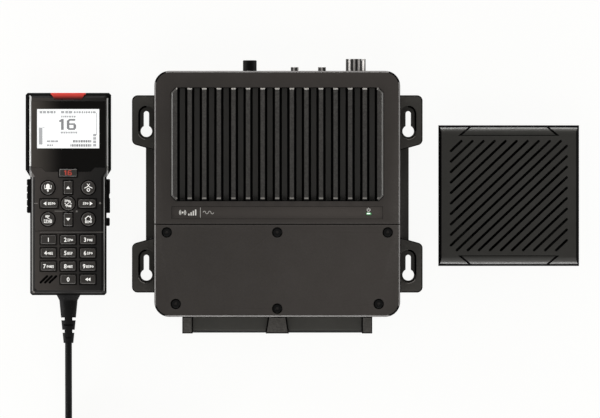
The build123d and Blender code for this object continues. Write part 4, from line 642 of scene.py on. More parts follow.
class Print:
    """Flat marks in millimetres about a centre, which become one thin raised piece."""

    def __init__(self, x, y):
        self.centre = Vector((x, y, 0))
        self.shape = bmesh.new()
        self.count = 0

    def spot(self, x, y):
        """A mark's place, a hair above the last one's so that crossing marks don't share a face."""
        self.count += 1
        return self.centre + Vector((x, y, MARK_STEP * self.count))

    def bar(self, x, y, width, height, turn=0.0):
        """A filled rectangle."""
        place = Matrix.Translation(self.spot(x, y)) @ Matrix.Rotation(turn, 4, "Z")
        bmesh.ops.create_grid(self.shape, x_segments=1, y_segments=1, size=0.5,
                              matrix=place @ Matrix.Diagonal((width, height, 1, 1)))

    def disc(self, x, y, radius):
        """A filled circle."""
        bmesh.ops.create_circle(self.shape, cap_ends=True, segments=DISC_CORNERS, radius=radius,
                                matrix=Matrix.Translation(self.spot(x, y)))

    def arc(self, x, y, radius, width, start, end, steps=16):
        """A curved stroke from one angle to another, in degrees. 0 and 360 close it to a ring."""
        closed = abs(end - start) >= 360
        place = self.spot(x, y)
        angle = math.radians(start)
        along = Vector((math.cos(angle), math.sin(angle), 0))
        ends = [self.shape.verts.new(place + along * (radius + side * width / 2)) for side in (-1, 1)]
        stroke = self.shape.edges.new(ends)
        bmesh.ops.spin(self.shape, geom=ends + [stroke], cent=place, axis=(0, 0, 1),
                       angle=math.radians(end - start), steps=steps, use_merge=closed)

    def triangle(self, x, y, width, height, turn):
        """A filled arrow head that points along its turn."""
        place = Matrix.Translation(self.spot(x, y)) @ Matrix.Rotation(turn, 4, "Z")
        corners = [(height / 2, 0, 0), (-height / 2, width / 2, 0), (-height / 2, -width / 2, 0)]
        self.shape.faces.new([self.shape.verts.new(place @ Vector(corner)) for corner in corners])

    def figures(self, text, x, y, height, squeeze, heavy):
        """Figures of the given height, centred on a point, made narrower and bolder."""
        curve = bpy.data.curves.new("figures", "FONT")
        curve.body = text
        curve.size = height / FIGURE_SHARE
        curve.offset = heavy
        holder = bpy.data.objects.new("figures", curve)
        bpy.context.collection.objects.link(holder)
        bpy.context.view_layer.update()
        mesh = bpy.data.meshes.new_from_object(holder.evaluated_get(bpy.context.evaluated_depsgraph_get()))
        bpy.data.objects.remove(holder)
        bpy.data.curves.remove(curve)
        across = [vertex.co.x for vertex in mesh.vertices]
        middle = (min(across) + max(across)) / 2
        place = Matrix.Translation(self.spot(x, y)) @ Matrix.Diagonal((squeeze, 1, 1, 1))
        mesh.transform(place @ Matrix.Translation((-middle, -height / 2, 0)))
        self.shape.from_mesh(mesh)
        bpy.data.meshes.remove(mesh)

    def fillers(self, x, y, count, kind, height=FILLER_HEIGHT):
        """Small plain signs in a row: rings, forks, steps and posts, in no alphabet."""
        wide = height * FILLER_WIDTH
        for index in range(count):
            left = x + index * FILLER_PITCH * height / FILLER_HEIGHT
            sign = (index + kind) % 4
            if sign == 0:
                self.arc(left, y, wide * 0.5, 0.45, 0, 360, 12)
            elif sign == 1:
                self.bar(left - wide / 3, y, FILLER_LINE, height)
                self.bar(left + wide / 3, y, FILLER_LINE, height)
                self.bar(left, y - height / 2 + 0.2, wide, 0.4)
            elif sign == 2:
                for step in (-1, 0, 1):
                    self.bar(left, y + step * height * 0.4, wide, 0.44)
            else:
                self.bar(left - wide / 4, y, FILLER_LINE, height)
                self.bar(left + wide / 4, y + height / 4, 0.4, height / 2)

    def stamp(self, marks):
        """Draws marks from a list, each a kind of mark and its numbers."""
        draw = {"bar": self.bar, "disc": self.disc, "arc": self.arc, "triangle": self.triangle,
                "fillers": self.fillers}
        for kind, *numbers in marks:
            draw[kind](*numbers)

    def finish(self, name, z, material, body, slot=None):
        """Raises the marks from a height, in millimetres, and dresses them."""
        sizes, _ = settings()
        rise = sizes.print_height + MARK_SINK * MM
        shape = self.shape
        bmesh.ops.remove_doubles(shape, verts=shape.verts, dist=0.001)
        bmesh.ops.transform(shape, matrix=Matrix.Scale(MM, 4) @ Matrix.Translation((0, 0, z - MARK_SINK)),
                             verts=shape.verts)
        raised = bmesh.ops.extrude_face_region(shape, geom=list(shape.faces), use_keep_orig=True)["geom"]
        corners = [part for part in raised if isinstance(part, bmesh.types.BMVert)]
        bmesh.ops.translate(shape, verts=corners, vec=(0, 0, rise))
        bmesh.ops.recalc_face_normals(shape, faces=shape.faces)
        return new_piece(name, shape, [material], body)


# ---------------------------------------------------------------- stage
VIEW_CENTRE = Vector((18.2 * MM, -4.8 * MM, 40 * MM))
VIEW_WIDTH = 480 * MM
LENS = 1000.0
SENSOR = 36.0
TABLE_HALF = 6.0  # metres
WHITE_SHARE = 0.93  # how much of the table is plain white to the camera
# In metres: where the lamps point, and each lamp's name, place and size, with its power in watts.
LAMPS_TOWARDS = (0.02, 0.0, 0.03)
LAMPS = (("lamp left", (-0.95, 0.0, 0.15), (1.1, 0.26), 9.0),
         ("lamp right", (0.99, 0.0, 0.15), (1.1, 0.26), 8.0),
         ("lamp far", (0.02, 0.95, 0.15), (1.2, 0.26), 12.0),
         ("lamp near", (0.02, -0.98, 0.15), (1.2, 0.26), 12.0),
         ("lamp high", (0.02, -1.3, 2.1), (1.4, 1.0), 9.0))


def soft_lamp(name, place, size, power):
    """A soft box that faces the set and isn't seen itself."""
    data = bpy.data.lights.new(name, "AREA")
    data.shape = "RECTANGLE"
    data.size, data.size_y = size
    data.energy = power
    lamp = bpy.data.objects.new(name, data)
    lamp.location = place
    lamp.rotation_euler = (Vector(LAMPS_TOWARDS) - Vector(place)).to_track_quat("-Z", "Y").to_euler()
    lamp.visible_camera = False
    bpy.context.collection.objects.link(lamp)


def white_floor_material():
    """A pale table that shows as white and keeps a soft shadow."""
    material = bpy.data.materials.new("white table")
    material.use_nodes = True
    tree = material.node_tree
    shader = tree.nodes["Principled BSDF"]
    place = add_node(tree, "ShaderNodeTexCoord", -700, 0).outputs["Object"]
    tone = noise(tree, place, -500, 0, 3.0, 2.0)
    colour = blend_colours(tree, tone, (0.93, 0.93, 0.92), (0.95, 0.95, 0.94), -250, 0)
    tree.links.new(colour, shader.inputs["Base Color"])
    shader.inputs["Roughness"].default_value = 0.9
    shader.inputs["Specular IOR Level"].default_value = 0.1
    glow = add_node(tree, "ShaderNodeEmission", 0, -420)
    glow.inputs["Color"].default_value = (1.0, 1.0, 0.99, 1)
    rays = add_node(tree, "ShaderNodeLightPath", -500, -300)
    seen = rays.outputs["Is Camera Ray"]
    for x, kind in ((-300, "Is Glossy Ray"), (-150, "Is Transmission Ray")):
        seen = calculate(tree, "MAXIMUM", x, -300, seen, rays.outputs[kind])
    share = calculate(tree, "MULTIPLY", 0, -300, seen, WHITE_SHARE)
    mix = add_node(tree, "ShaderNodeMixShader", 350, 0)
    tree.links.new(share, mix.inputs[0])
    tree.links.new(shader.outputs[0], mix.inputs[1])
    tree.links.new(glow.outputs[0], mix.inputs[2])
    tree.links.new(mix.outputs[0], tree.nodes["Material Output"].inputs["Surface"])
    return material


class RADIO_OT_stage(bpy.types.Operator):
    """Camera straight above the set, soft lamps all round it and the pale table"""
    bl_idname = "radio.stage"
    bl_label = "Camera, lamps and table"

    def execute(self, context):
        scene = context.scene
        data = bpy.data.cameras.new("overhead")
        data.lens = LENS
        data.sensor_width = SENSOR
        data.clip_end = 200.0
        camera = bpy.data.objects.new("overhead", data)
        camera.location = VIEW_CENTRE + Vector((0, 0, VIEW_WIDTH * LENS / SENSOR))
        context.collection.objects.link(camera)
        scene.camera = camera
        scene.view_settings.view_transform = "Standard"
        world = bpy.data.worlds.new("studio")
        world.use_nodes = True
        background = world.node_tree.nodes["Background"]
        background.inputs["Color"].default_value = (1.0, 0.99, 0.975, 1)
        background.inputs["Strength"].default_value = 0.30
        scene.world = world
        for name, place, size, power in LAMPS:
            soft_lamp(name, place, size, power)
        shape = bmesh.new()
        bmesh.ops.create_grid(shape, x_segments=8, y_segments=8, size=TABLE_HALF)
        mesh = bpy.data.meshes.new("table_top")
        shape.to_mesh(mesh)
        shape.free()
        mesh.materials.append(white_floor_material())
        table = bpy.data.objects.new("table_top", mesh)
        context.collection.objects.link(table)
        return {"FINISHED"}


# ---------------------------------------------------------------- handset's lead
LEAD_R = 2.75
LEAD_ROUTE = [(HS_X, -112.2, 12.0), (HS_X, -132.0, 12.0), (HS_X, -156.0, 4.6),
              (HS_X, -180.0, LEAD_R), (HS_X, -203.0, LEAD_R)]
COIL_CENTRE = (-131.15, -217.0)
COIL_TURNS = 5.375
# Turns made so far and the distance from the coil's centre: inwards on the table, then outwards on top.
COIL_KNOTS = ((0.0, 36.25), (2.0, 25.05), (2.5, 21.5), (3.0, 23.0), (COIL_TURNS, 36.3))
POINTS_A_TURN = 12
LAYER_HEIGHT = 5.5
CLIMB_START = 2.25
CLIMB_TURNS = 0.75
TAIL = ((14.0, 0.9, 9.0), (31.0, 0.9, 9.0))  # far along, out to the side, height


def coil_radius(turns):
    """Distance of the lead's middle from the coil's centre after some turns."""
    before, after = next(pair for pair in zip(COIL_KNOTS, COIL_KNOTS[1:]) if turns <= pair[1][0])
    share = (turns - before[0]) / (after[0] - before[0])
    return before[1] + (after[1] - before[1]) * share


def coil_height(turns):
    """Height of the lead's middle: one layer on the table, then one on top of it."""
    climb = min(1.0, max(0.0, (turns - CLIMB_START) / CLIMB_TURNS))
    return LEAD_R + LAYER_HEIGHT * climb * climb * (3 - 2 * climb)


def coil_points():
    """The coil's turns as control points, a little outside the line that they shape."""
    spread = 2 / (1 + math.cos(2 * math.pi / POINTS_A_TURN))
    count = round(COIL_TURNS * POINTS_A_TURN)
    points = []
    for number in range(1, count + 1):
        turns = COIL_TURNS * number / count
        angle = math.pi + turns * 2 * math.pi
        radius = coil_radius(turns) * spread
        points.append((COIL_CENTRE[0] + radius * math.cos(angle),
                       COIL_CENTRE[1] + radius * math.sin(angle), coil_height(turns)))
    return points


def tail_points():
    """The lead's end, straight off the coil towards the plug."""
    angle = math.pi + COIL_TURNS * 2 * math.pi
    out = Vector((math.cos(angle), math.sin(angle), 0))
    along = Vector((-out.y, out.x, 0))
    start = Vector((*COIL_CENTRE, 0)) + out * coil_radius(COIL_TURNS)
    return [tuple(start + along * far + out * side + Vector((0, 0, height))) for far, side, height in TAIL]


class RADIO_OT_lead(bpy.types.Operator):
    """The handset's lead, its put-away coil and the plug at its end"""
    bl_idname = "radio.lead"
    bl_label = "Lead and plug"

    def execute(self, context):
        sizes, _ = settings()
        curve = bpy.data.curves.new("handset_lead", "CURVE")
        curve.dimensions = "3D"
        curve.resolution_u = 6
        curve.bevel_depth = sizes.lead_thickness / 2
        curve.bevel_resolution = 5
        curve.use_fill_caps = True
        points = LEAD_ROUTE + coil_points() + tail_points()
        line = curve.splines.new("NURBS")
        line.points.add(len(points) - 1)
        for point, place in zip(line.points, points):
            point.co = (*(part * MM for part in place), 1)
        line.order_u = 3
        line.use_endpoint_u = True
        lead = bpy.data.objects.new("handset_lead", curve)
        context.collection.objects.link(lead)
        curve.materials.append(MATERIALS["rubber"])
        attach(lead, body_for("handset_cord"))
        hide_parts("handset_cord", "cord_coil")
        plug = rounded_node("cord_plug", ["rubber"], SOFT_EDGE)
        return {"FINISHED"}


# ---------------------------------------------------------------- transceiver
COVER_FINISHES = ["cover", "cover rim highlight", "black and painted shade", "label"]
SINK_FINISHES = ["fins", "sink rim highlight", "groove", "black and painted shade", "fin end highlight"]
SCREW_FINISHES = ["screw", "screw socket highlight"]
CORNER_SHARE = 0.3  # a corner's face looks at least this much to its lesser side
LABEL_DEPTH = (0.2, 0.8)  # how far the label strip lies below the cover's top
FIN_DEPTH = 5.0
FIN_BEVEL_ANGLE = 60
FIN_TICK = (5.2, 6.6)  # painted highlight band near the fins' low end
SOCKET_DEPTH = (1.0, 3.0)

# The mounting plate's heights, its keyholes' recesses and the painted shade and painted highlight in them.
EAR_TOP = 8.0
TRAY_TOP = 38.0
HEIGHT_SLACK = 0.1
RIM_SHADE_LINE = 0.7
RECESS_FLOOR = 4.4
RECESS_Z = 4.5
RECESS_X = 105.0
RECESS_R = 6.5
RECESS_ENDS = ((-57.6, -43.6), (57.6, 71.6))
SHADE_BAND = 1.5
GLINT_BAND = 0.5
GLINT_ARC = (262, 325)
LEFT_GLINT_ARC = (200, 262)


def faces_corner(normal):
    """Whether a slanted face looks out of a plan's corner rather than one of its sides."""
    across, along = abs(normal.x), abs(normal.y)
    return min(across, along) > CORNER_SHARE * max(across, along)


def top_of(shape):
    """The height of a shape's highest point."""
    return max(vertex.co.z for vertex in shape.verts)


def give(face, finishes, name):
    """Gives a face one of its piece's finishes."""
    face.material_index = finishes.index(name)


def mark_cover(shape):
    """A cover's bevel with a painted highlight, painted shade round its corners, and its label strip."""
    top = top_of(shape)
    for face in shape.faces:
        depth = (top - face.calc_center_median().z) / MM
        if SLANTED < face.normal.z < LEVEL:
            give(face, COVER_FINISHES, "black and painted shade" if faces_corner(face.normal) else "cover rim highlight")
        elif face.normal.z > LEVEL and LABEL_DEPTH[0] < depth < LABEL_DEPTH[1]:
            give(face, COVER_FINISHES, "label")


def mark_fins(shape):
    """The finned block's side chamfers and fin ends with painted highlights, groove floors with painted
    light, fin flanks and low chamfers with painted shade.
    """
    top = top_of(shape)
    low_end = min(vertex.co.y for vertex in shape.verts)
    cut_across(shape, (0, 1, 0), [low_end / MM + cut for cut in FIN_TICK])
    for face in shape.faces:
        slant = face.normal
        middle = face.calc_center_median()
        if slant.z > LEVEL:
            if middle.z < top - FIN_DEPTH * MM:
                give(face, SINK_FINISHES, "groove")
            elif FIN_TICK[0] < (middle.y - low_end) / MM < FIN_TICK[1]:
                give(face, SINK_FINISHES, "fin end highlight")
        elif slant.z > SLANTED:
            if faces_corner(slant):
                give(face, SINK_FINISHES, "fins")
            elif abs(slant.x) > abs(slant.y):
                give(face, SINK_FINISHES, "sink rim highlight")
            else:
                give(face, SINK_FINISHES, "fin end highlight" if slant.y > 0 else "black and painted shade")
        elif slant.z > UPRIGHT / 2:
            give(face, SINK_FINISHES, "black and painted shade")


def mark_screws(shape):
    """The floor of each screw's socket, painted lighter as a highlight."""
    top = top_of(shape)
    for face in shape.faces:
        depth = (top - face.calc_center_median().z) / MM
        if face.normal.z > LEVEL and SOCKET_DEPTH[0] < depth < SOCKET_DEPTH[1]:
            give(face, SCREW_FINISHES, "screw socket highlight")


def outer_rims(shape, height):
    """The edges between a level face at one height and an outer wall below it, with the way out of each."""
    for edge in shape.edges:
        level = [face for face in edge.link_faces if face.normal.z > LEVEL]
        walls = [face for face in edge.link_faces if abs(face.normal.z) < UPRIGHT]
        if not level or not walls or abs(edge.verts[0].co.z / MM - height) > HEIGHT_SLACK:
            continue
        if min(vertex.co.z for vertex in walls[0].verts) < RECESS_FLOOR * MM:
            yield edge, walls[0].normal


def draw_plate_rims():
    """Painted shade: a thin dark line along the outer rims of the plate's ears and tray."""
    shape = clean_copy("mounting_plate")
    for name, height in (("ear_rim_shade", EAR_TOP), ("tray_rim_shade", TRAY_TOP)):
        lines = Print(0, 0)
        for edge, outwards in outer_rims(shape, height):
            start, end = (vertex.co / MM for vertex in edge.verts)
            middle = (start + end) / 2 - outwards * RIM_SHADE_LINE / 2
            along = end - start
            lines.bar(middle.x, middle.y, along.length, RIM_SHADE_LINE, math.atan2(along.y, along.x))
            lines.count %= 2  # only neighbours cross, so two heights are enough
        lines.finish(name, height, "black and painted shade", "set")
    shape.free()


def draw_recess_shades():
    """Each keyhole's recess: painted shade in its outer wall's corner, and a painted highlight on its low
    rim.
    """
    recess_shade, wear_and_glint = Print(0, 0), Print(0, 0)
    for side, shade_start, glint_arc in ((-1, 90, LEFT_GLINT_ARC), (1, 0, GLINT_ARC)):
        x = side * RECESS_X
        for low, high in RECESS_ENDS:
            recess_shade.arc(x, high, RECESS_R - SHADE_BAND / 2, SHADE_BAND, shade_start, shade_start + 90)
            recess_shade.bar(x + side * (RECESS_R - SHADE_BAND / 2), (low + high) / 2, SHADE_BAND, high - low)
            wear_and_glint.arc(x, low, RECESS_R + GLINT_BAND / 2, GLINT_BAND, *glint_arc)
    recess_shade.finish("recess_painted_shade", RECESS_Z, "black and painted shade", "set")
    wear_and_glint.finish("recess_painted_highlight", EAR_TOP, "dim marks", "set")


class RADIO_OT_housing(bpy.types.Operator):
    """Mounting plate, chassis, covers, finned block and screws of the transceiver"""
    bl_idname = "radio.housing"
    bl_label = "Transceiver housing"

    def execute(self, context):
        sizes, _ = settings()
        edge = sizes.metal_edge
        rounded_node("mounting_plate", ["plate"], edge)
        draw_plate_rims()
        draw_recess_shades()
        # The covers' and the finned block's rounded edges are painted shade.
        for node in ("rear_chassis", "cable_cover", "top_cover"):
            rounded_node(node, COVER_FINISHES, edge, mark=mark_cover, rim="black and painted shade")
        rounded_node("heatsink", SINK_FINISHES, edge, angle=FIN_BEVEL_ANGLE,
                     mark=mark_fins, rim="black and painted shade")
        rounded_node("cover_screws", SCREW_FINISHES, SCREW_EDGE, mark=mark_screws)
        paint_node("plate_screws", "steel")
        paint_node("cover_seal", "rubber")
        return {"FINISHED"}


class RADIO_OT_connectors(bpy.types.Operator):
    """Aerial sockets, data socket with its cap, and the cable grommets"""
    bl_idname = "radio.connectors"
    bl_label = "Connectors"

    def execute(self, context):
        rounded_node("antenna_socket", ["nickel"], SOCKET_EDGE)
        rounded_node("sma_sockets", ["nickel"], SMALL_SOCKET_EDGE)
        rounded_node("data_cap", ["rubber"], SOFT_EDGE)
        # The grommets' slopes and rounded edges take the black rubber as painted shade.
        rounded_node("cable_grommets", ["grommet", "rubber"], GROMMET_EDGE, mark=mark_slopes,
                     rim="rubber")
        paint_node("data_socket", "moulded black and painted shade")
        return {"FINISHED"}


INNER_FINISHES = {"main_board": "board", "handset_board": "board", "amplifier_module": "steel",
                  "terminal_block": "moulded black and painted shade", "key_membrane": "rubber", "earpiece": "moulded black and painted shade",
                  "speaker_driver": "black and painted shade", "speaker_cone": "cone", "speaker_screws": "screw",
                  "handset_screws": "screw", "power_lamp": "lamp"}


class RADIO_OT_inner_parts(bpy.types.Operator):
    """Boards, amplifier, terminals and other pieces inside the three units"""
    bl_idname = "radio.inner_parts"
    bl_label = "Inner parts"

    def execute(self, context):
        for node, material in INNER_FINISHES.items():
            paint_node(node, material)
        return {"FINISHED"}


# ---------------------------------------------------------------- handset
NUMBER_KEYS = [f"key_{number}" for number in range(10)]
ROUND_KEYS = ["key_alert", "key_squelch", "key_menu", "key_home", "key_select"]
SIGN_KEYS = ROUND_KEYS + ["key_up", "key_down", "key_left", "key_right", "key_back"]
KEY_Z = 33.0
# The painted shade border round each key: from its flange in to its cap, out to the border, and the border's
# width.
KEY_FLANGE = 0.7
MOAT_INNER = 0.45
MOAT = 0.5
MOAT_CORNER = 0.8  # how far the borders' ends cross, as a share of their width

WINDOW_X = (HS_X - 24.9, HS_X + 24.9)
WINDOW_Y = (43.8, 75.2)
SCREEN_Z = 30.0
FACE_Z = 32.0
PANE_FINISHES = ["lens", "clear window"]

SHELL_FINISHES = ["handset", "handset rim highlight", "black and painted shade", "head rim highlight", "moulded black and painted shade"]
# Where the shell's painted highlight strips start and end across its head and its grip, and along it.
HEAD_CUTS = (-198.3, -196.7, -136.5, -135.4)
GRIP_CUTS = (-196.6, -195.9, -138.8, -138.2)
STRIP_FOOT = 29.6
NECK_FOOT = 20.8
TOE = -72.3
# Slopes as their normals' heights: where a flank turns steep, and where its foot nearly stands.
STEEP = 0.7
NEAR_UPRIGHT = 0.2


def window_pane():
    """The handset's pane: printed black at the back, with a painted reflection towards its left end, clear
    over the display.
    """
    shape = clean_copy("display_lens")
    cut_across(shape, (1, 0, 0), WINDOW_X)
    cut_across(shape, (0, 1, 0), WINDOW_Y)
    for face in shape.faces:
        middle = face.calc_center_median() / MM
        clear = WINDOW_X[0] < middle.x < WINDOW_X[1] and WINDOW_Y[0] < middle.y < WINDOW_Y[1]
        give(face, PANE_FINISHES, "clear window" if clear and abs(face.normal.z) > LEVEL else "lens")
    pane = new_piece("window_pane", shape, PANE_FINISHES, "set")
    round_edges(pane, PANE_EDGE)
    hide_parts("display_lens")


def flank_finish(x, y):
    """The front shell's finish at a place: plain face, rim line with a painted highlight, flank with painted
    shade, or the head's painted highlight strip.
    """
    cuts = HEAD_CUTS if y > NECK_FOOT else GRIP_CUTS
    if y < TOE or x < cuts[0] or x > cuts[3]:
        return "black and painted shade"
    if cuts[1] < x < cuts[2]:
        return "handset"
    return "head rim highlight" if y > STRIP_FOOT else "handset rim highlight"


def mark_flanks(shape):
    """The front shell's strips and lines with painted highlights, and its flanks and rolled edges with
    painted shade.
    """
    cut_across(shape, (1, 0, 0), HEAD_CUTS + GRIP_CUTS)
    cut_across(shape, (0, 1, 0), (STRIP_FOOT, NECK_FOOT, TOE))
    for face in shape.faces:
        slant = face.normal
        middle = face.calc_center_median() / MM
        lengthwise = abs(slant.y) > abs(slant.x)
        rolled = STEEP < slant.z < LEVEL and (lengthwise or middle.y < NECK_FOOT)
        toe = NEAR_UPRIGHT < slant.z < LEVEL and slant.y < -abs(slant.x) and middle.y > TOE
        if abs(slant.z) < UPRIGHT or rolled or toe:
            give(face, SHELL_FINISHES, "moulded black and painted shade")
        elif slant.z < NEAR_UPRIGHT or slant.z < STEEP and lengthwise:
            give(face, SHELL_FINISHES, "black and painted shade")
        else:
            give(face, SHELL_FINISHES, flank_finish(middle.x, middle.y))


# Strokes of the blocky number: place across and up, width, height and turn, as shares of its height.
SIXTEEN = ((-0.55, 0, 0.24, 1.0, 0), (-0.72, 0.33, 0.27, 0.17, 0.5), (-0.03, -0.02, 0.24, 0.78, 0),
           (0.32, 0.42, 0.62, 0.16, 0), (0.05, 0.36, 0.24, 0.18, 0.7), (0.29, 0.03, 0.60, 0.15, 0),
           (0.29, -0.42, 0.62, 0.16, 0), (0.58, -0.19, 0.24, 0.40, 0))
DISPLAY_Y = 60.0
DISPLAY_NUMBER = 8.8
KEY_NUMBER = 3.9
# Rows of spots on the display: height, spots' height, and each spot's place and width.
SPOT_ROWS = (
    (12.7, 2.0, ((-21.8, 2.2), (-19.0, 2.4), (-16.0, 2.2), (-13.2, 2.4), (-10.8, 1.4), (-4.4, 2.6),
                 (-1.2, 2.2), (1.8, 3.0))),
    (12.6, 1.7, ((5.2, 1.6), (7.2, 1.2), (9.2, 1.8), (11.4, 1.4), (13.2, 1.0), (14.8, 1.4), (16.8, 1.6),
                 (18.8, 1.2), (20.9, 2.2))))
LOW_SPOT_ROWS = ((-10.6, 1.5, ((-15.8, 2.8), (-12.4, 3.2), (-9.2, 2.4))),
                 (-13.8, 1.4, ((-16.2, 1.8), (-14.2, 1.4), (-12.6, 1.0))))
# Close rows: the signs' height and gap, then each row's place up, its start and its signs' widths.
PALE_SIGN = (1.5, 0.45)
DARK_SIGN = (1.9, 0.42)
PALE_ROWS = ((9.2, -5.6, (1.0, 0.7, 1.6, 1.2, 1.6, 1.2, 1.5)),
             (-3.6, -6.0, (1.8, 1.3, 1.6, 1.3, 1.8, 1.2, 1.6)))
# Level bars on the left, a long line on the right, and the posts beside it.
LEFT_BARS = [("bar", -22.0, -6.4, 2.8, 13.6), ("bar", -19.6, 0.5, 1.8, 0.5)]
RIGHT_BARS = [("bar", 22.6, 3.4, 0.5, 18.0)] + [("bar", 21.2, -5.6 - 2.7 * row, 2.4, 2.1) for row in range(4)]
DARK_ROWS = ((-10.6, 3.8, (1.6, 1.2, 0.8, 1.0, 1.6, 1.4, 1.5, 1.4, 0.9)),
             (-13.9, 1.8, (0.8, 1.4, 1.2, 1.6, 1.3, 1.5, 1.4, 1.5, 1.4, 0.9)))


def block_sixteen(signs, place, height):
    """The calling channel's number in blocky figures with bevelled corners."""
    for across, up, width, tall, turn in SIXTEEN:
        signs.bar(place[0] + across * height, place[1] + up * height, width * height, tall * height, turn)


def spot_rows(signs, rows):
    """Rows of spots at chosen places."""
    for y, height, spots in rows:
        for x, width in spots:
            signs.bar(x, y, width, height)


def close_rows(signs, rows, sign):
    """Rows of signs of one height that follow each other at one gap."""
    height, gap = sign
    for y, x, widths in rows:
        for width in widths:
            signs.bar(x + width / 2, y, width, height)
            x += width + gap


class RADIO_OT_display(bpy.types.Operator):
    """The lit display: its white field, the channel number and the small status signs"""
    bl_idname = "radio.display"
    bl_label = "Display"

    def execute(self, context):
        paint_node("display_screen", "screen")
        signs = Print(HS_X, DISPLAY_Y)
        block_sixteen(signs, (0.2, 2.9), DISPLAY_NUMBER)
        signs.finish("display_channel", SCREEN_Z, "screen ink", "set", "screen")
        grey = Print(HS_X, DISPLAY_Y)
        spot_rows(grey, SPOT_ROWS)
        close_rows(grey, PALE_ROWS, PALE_SIGN)
        grey.stamp(LEFT_BARS)
        spot_rows(grey, LOW_SPOT_ROWS)
        grey.stamp(RIGHT_BARS)
        grey.finish("display_signs", SCREEN_Z, "screen grey", "set", "screen")
        rows = Print(HS_X, DISPLAY_Y)
        close_rows(rows, DARK_ROWS, DARK_SIGN)
        rows.finish("display_rows", SCREEN_Z, "screen ink", "set", "screen")
        return {"FINISHED"}


class RADIO_OT_handset(bpy.types.Operator):
    """Handset shells, window pane, bend relief, side keys and distress cover"""
    bl_idname = "radio.handset"
    bl_label = "Handset"

    def execute(self, context):
        sizes, _ = settings()
        edge = sizes.plastic_edge
        rounded_node("handset_front_shell", SHELL_FINISHES, edge, mark=mark_flanks)
        rounded_node("handset_rear_shell", ["moulded black and painted shade"], edge)
        window_pane()
        rounded_node("strain_relief", ["rubber"], SOFT_EDGE)
        for node in ("ptt_button", "volume_rocker", "power_button"):
            rounded_node(node, ["rubber"], SOFT_EDGE)
        rounded_node("distress_cover", ["red lip"], SOFT_EDGE)
        rounded_node("distress_button", ["red"], SOFT_EDGE)
        return {"FINISHED"}


FILLER_COUNTS = {2: 3, 3: 3, 4: 3, 5: 3, 6: 3, 7: 4, 8: 3, 9: 4}
FIGURE_HEIGHT = 3.4
FIGURE_SQUEEZE = 0.95
FIGURE_BOLD = 0.09
FIGURE_GAP = 1.5  # from the figure's middle to its filler signs
FILLER_DROP = -0.35
UP = math.pi / 2
LEFT = math.pi


def on_key(node):
    """Marks about the middle of a key's cap."""
    low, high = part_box(node)
    middle = (low + high) / 2 / MM
    return Print(middle.x, middle.y)


def finish_key(signs, node, material="marks"):
    """The marks of one key, which ride on it."""
    signs.finish(f"{node}_sign", KEY_Z, material, body_for(node))


# Marks of each key: what is drawn, its place about the key's middle, and its own measures.
KEY_MARKS = {
    # A bell with sound on both sides.
    "key_alert": (("disc", 0, 1.6, 1.5), ("bar", 0, 0.5, 3.0, 2.2), ("bar", 0, -0.7, 5.4, 0.7),
                  ("disc", 0, -1.9, 0.7), ("bar", 0, -2.6, 0.9, 1.2, 0.6),
                  ("arc", 0, 0.9, 2.7, 0.4, 150, 205, 6), ("arc", 0, 0.9, 2.7, 0.4, -25, 30, 6)),
    # Crossed waves over a small ring.
    "key_squelch": (("bar", 0, 1.8, 3.4, 0.55, -0.95), ("bar", -1.9, 0.3, 2.9, 0.6, 0.45),
                    ("bar", 0, 1.8, 3.4, 0.55, 0.95), ("bar", 1.9, 0.3, 2.9, 0.6, -0.45),
                    ("arc", 0, -1.7, 1.1, 0.6, 0, 360, 20)),
    # Two rows of plain signs with a stroke between them.
    "key_menu": (("fillers", -1.4, 2.3, 3, 1, 1.6), ("bar", 0.7, 0.6, 3.4, 0.4, -0.5),
                 ("fillers", -2.6, -1.4, 4, 2, 2.4), ("bar", 0, -2.8, 6.2, 0.35)),
    # A house on a row of plain signs.
    "key_home": (("bar", -1.3, 1.6, 3.5, 0.6, 0.66), ("bar", -2.0, -0.3, 0.6, 2.0),
                 ("bar", 1.3, 1.6, 3.5, 0.6, -0.66), ("bar", 2.0, -0.3, 0.6, 2.0),
                 ("bar", 1.6, 2.2, 0.5, 1.2), ("fillers", -2.0, -2.1, 4, 1, 1.9)),
    # Two small rows of plain signs on either side of a slanted stroke.
    "key_select": (("fillers", -2.2, 2.1, 3, 2, 1.9), ("bar", 0, 0.1, 6.0, 0.45, 0.72),
                   ("bar", -2.2, -0.2, 1.6, 0.5, -0.8), ("bar", 2.2, 0.3, 1.6, 0.5, -0.8),
                   ("fillers", -0.8, -2.0, 3, 3, 1.9)),
    # Arrow heads, with plain signs behind the level ones.
    "key_up": (("triangle", 0, 0, 3.4, 2.3, UP),),
    "key_down": (("triangle", 0, 0, 3.4, 2.3, -UP),),
    "key_left": (("triangle", -3.4, 0, 3.2, 2.4, LEFT), ("fillers", -0.3, 0, 4, 1)),
    "key_right": (("triangle", 3.3, 0, 3.2, 2.4, 0), ("fillers", -2.7, 0, 3, 2)),
    "key_back": (("triangle", -1.1, 0, 2.9, 2.2, LEFT), ("triangle", 1.0, 0, 2.9, 2.2, LEFT)),
}


class RADIO_OT_key_caps(bpy.types.Operator):
    """The handset's key caps"""
    bl_idname = "radio.key_caps"
    bl_label = "Key caps"

    def execute(self, context):
        sizes, _ = settings()
        for node in NUMBER_KEYS + SIGN_KEYS:
            rounded_node(node, ["keys", "key rim highlight"], sizes.key_edge, mark=mark_slopes,
                         rim="key rim highlight")
        rounded_node("key_channel", ["channel cap", "key rim highlight"], sizes.key_edge,
                     mark=mark_slopes, rim="key rim highlight")
        return {"FINISHED"}


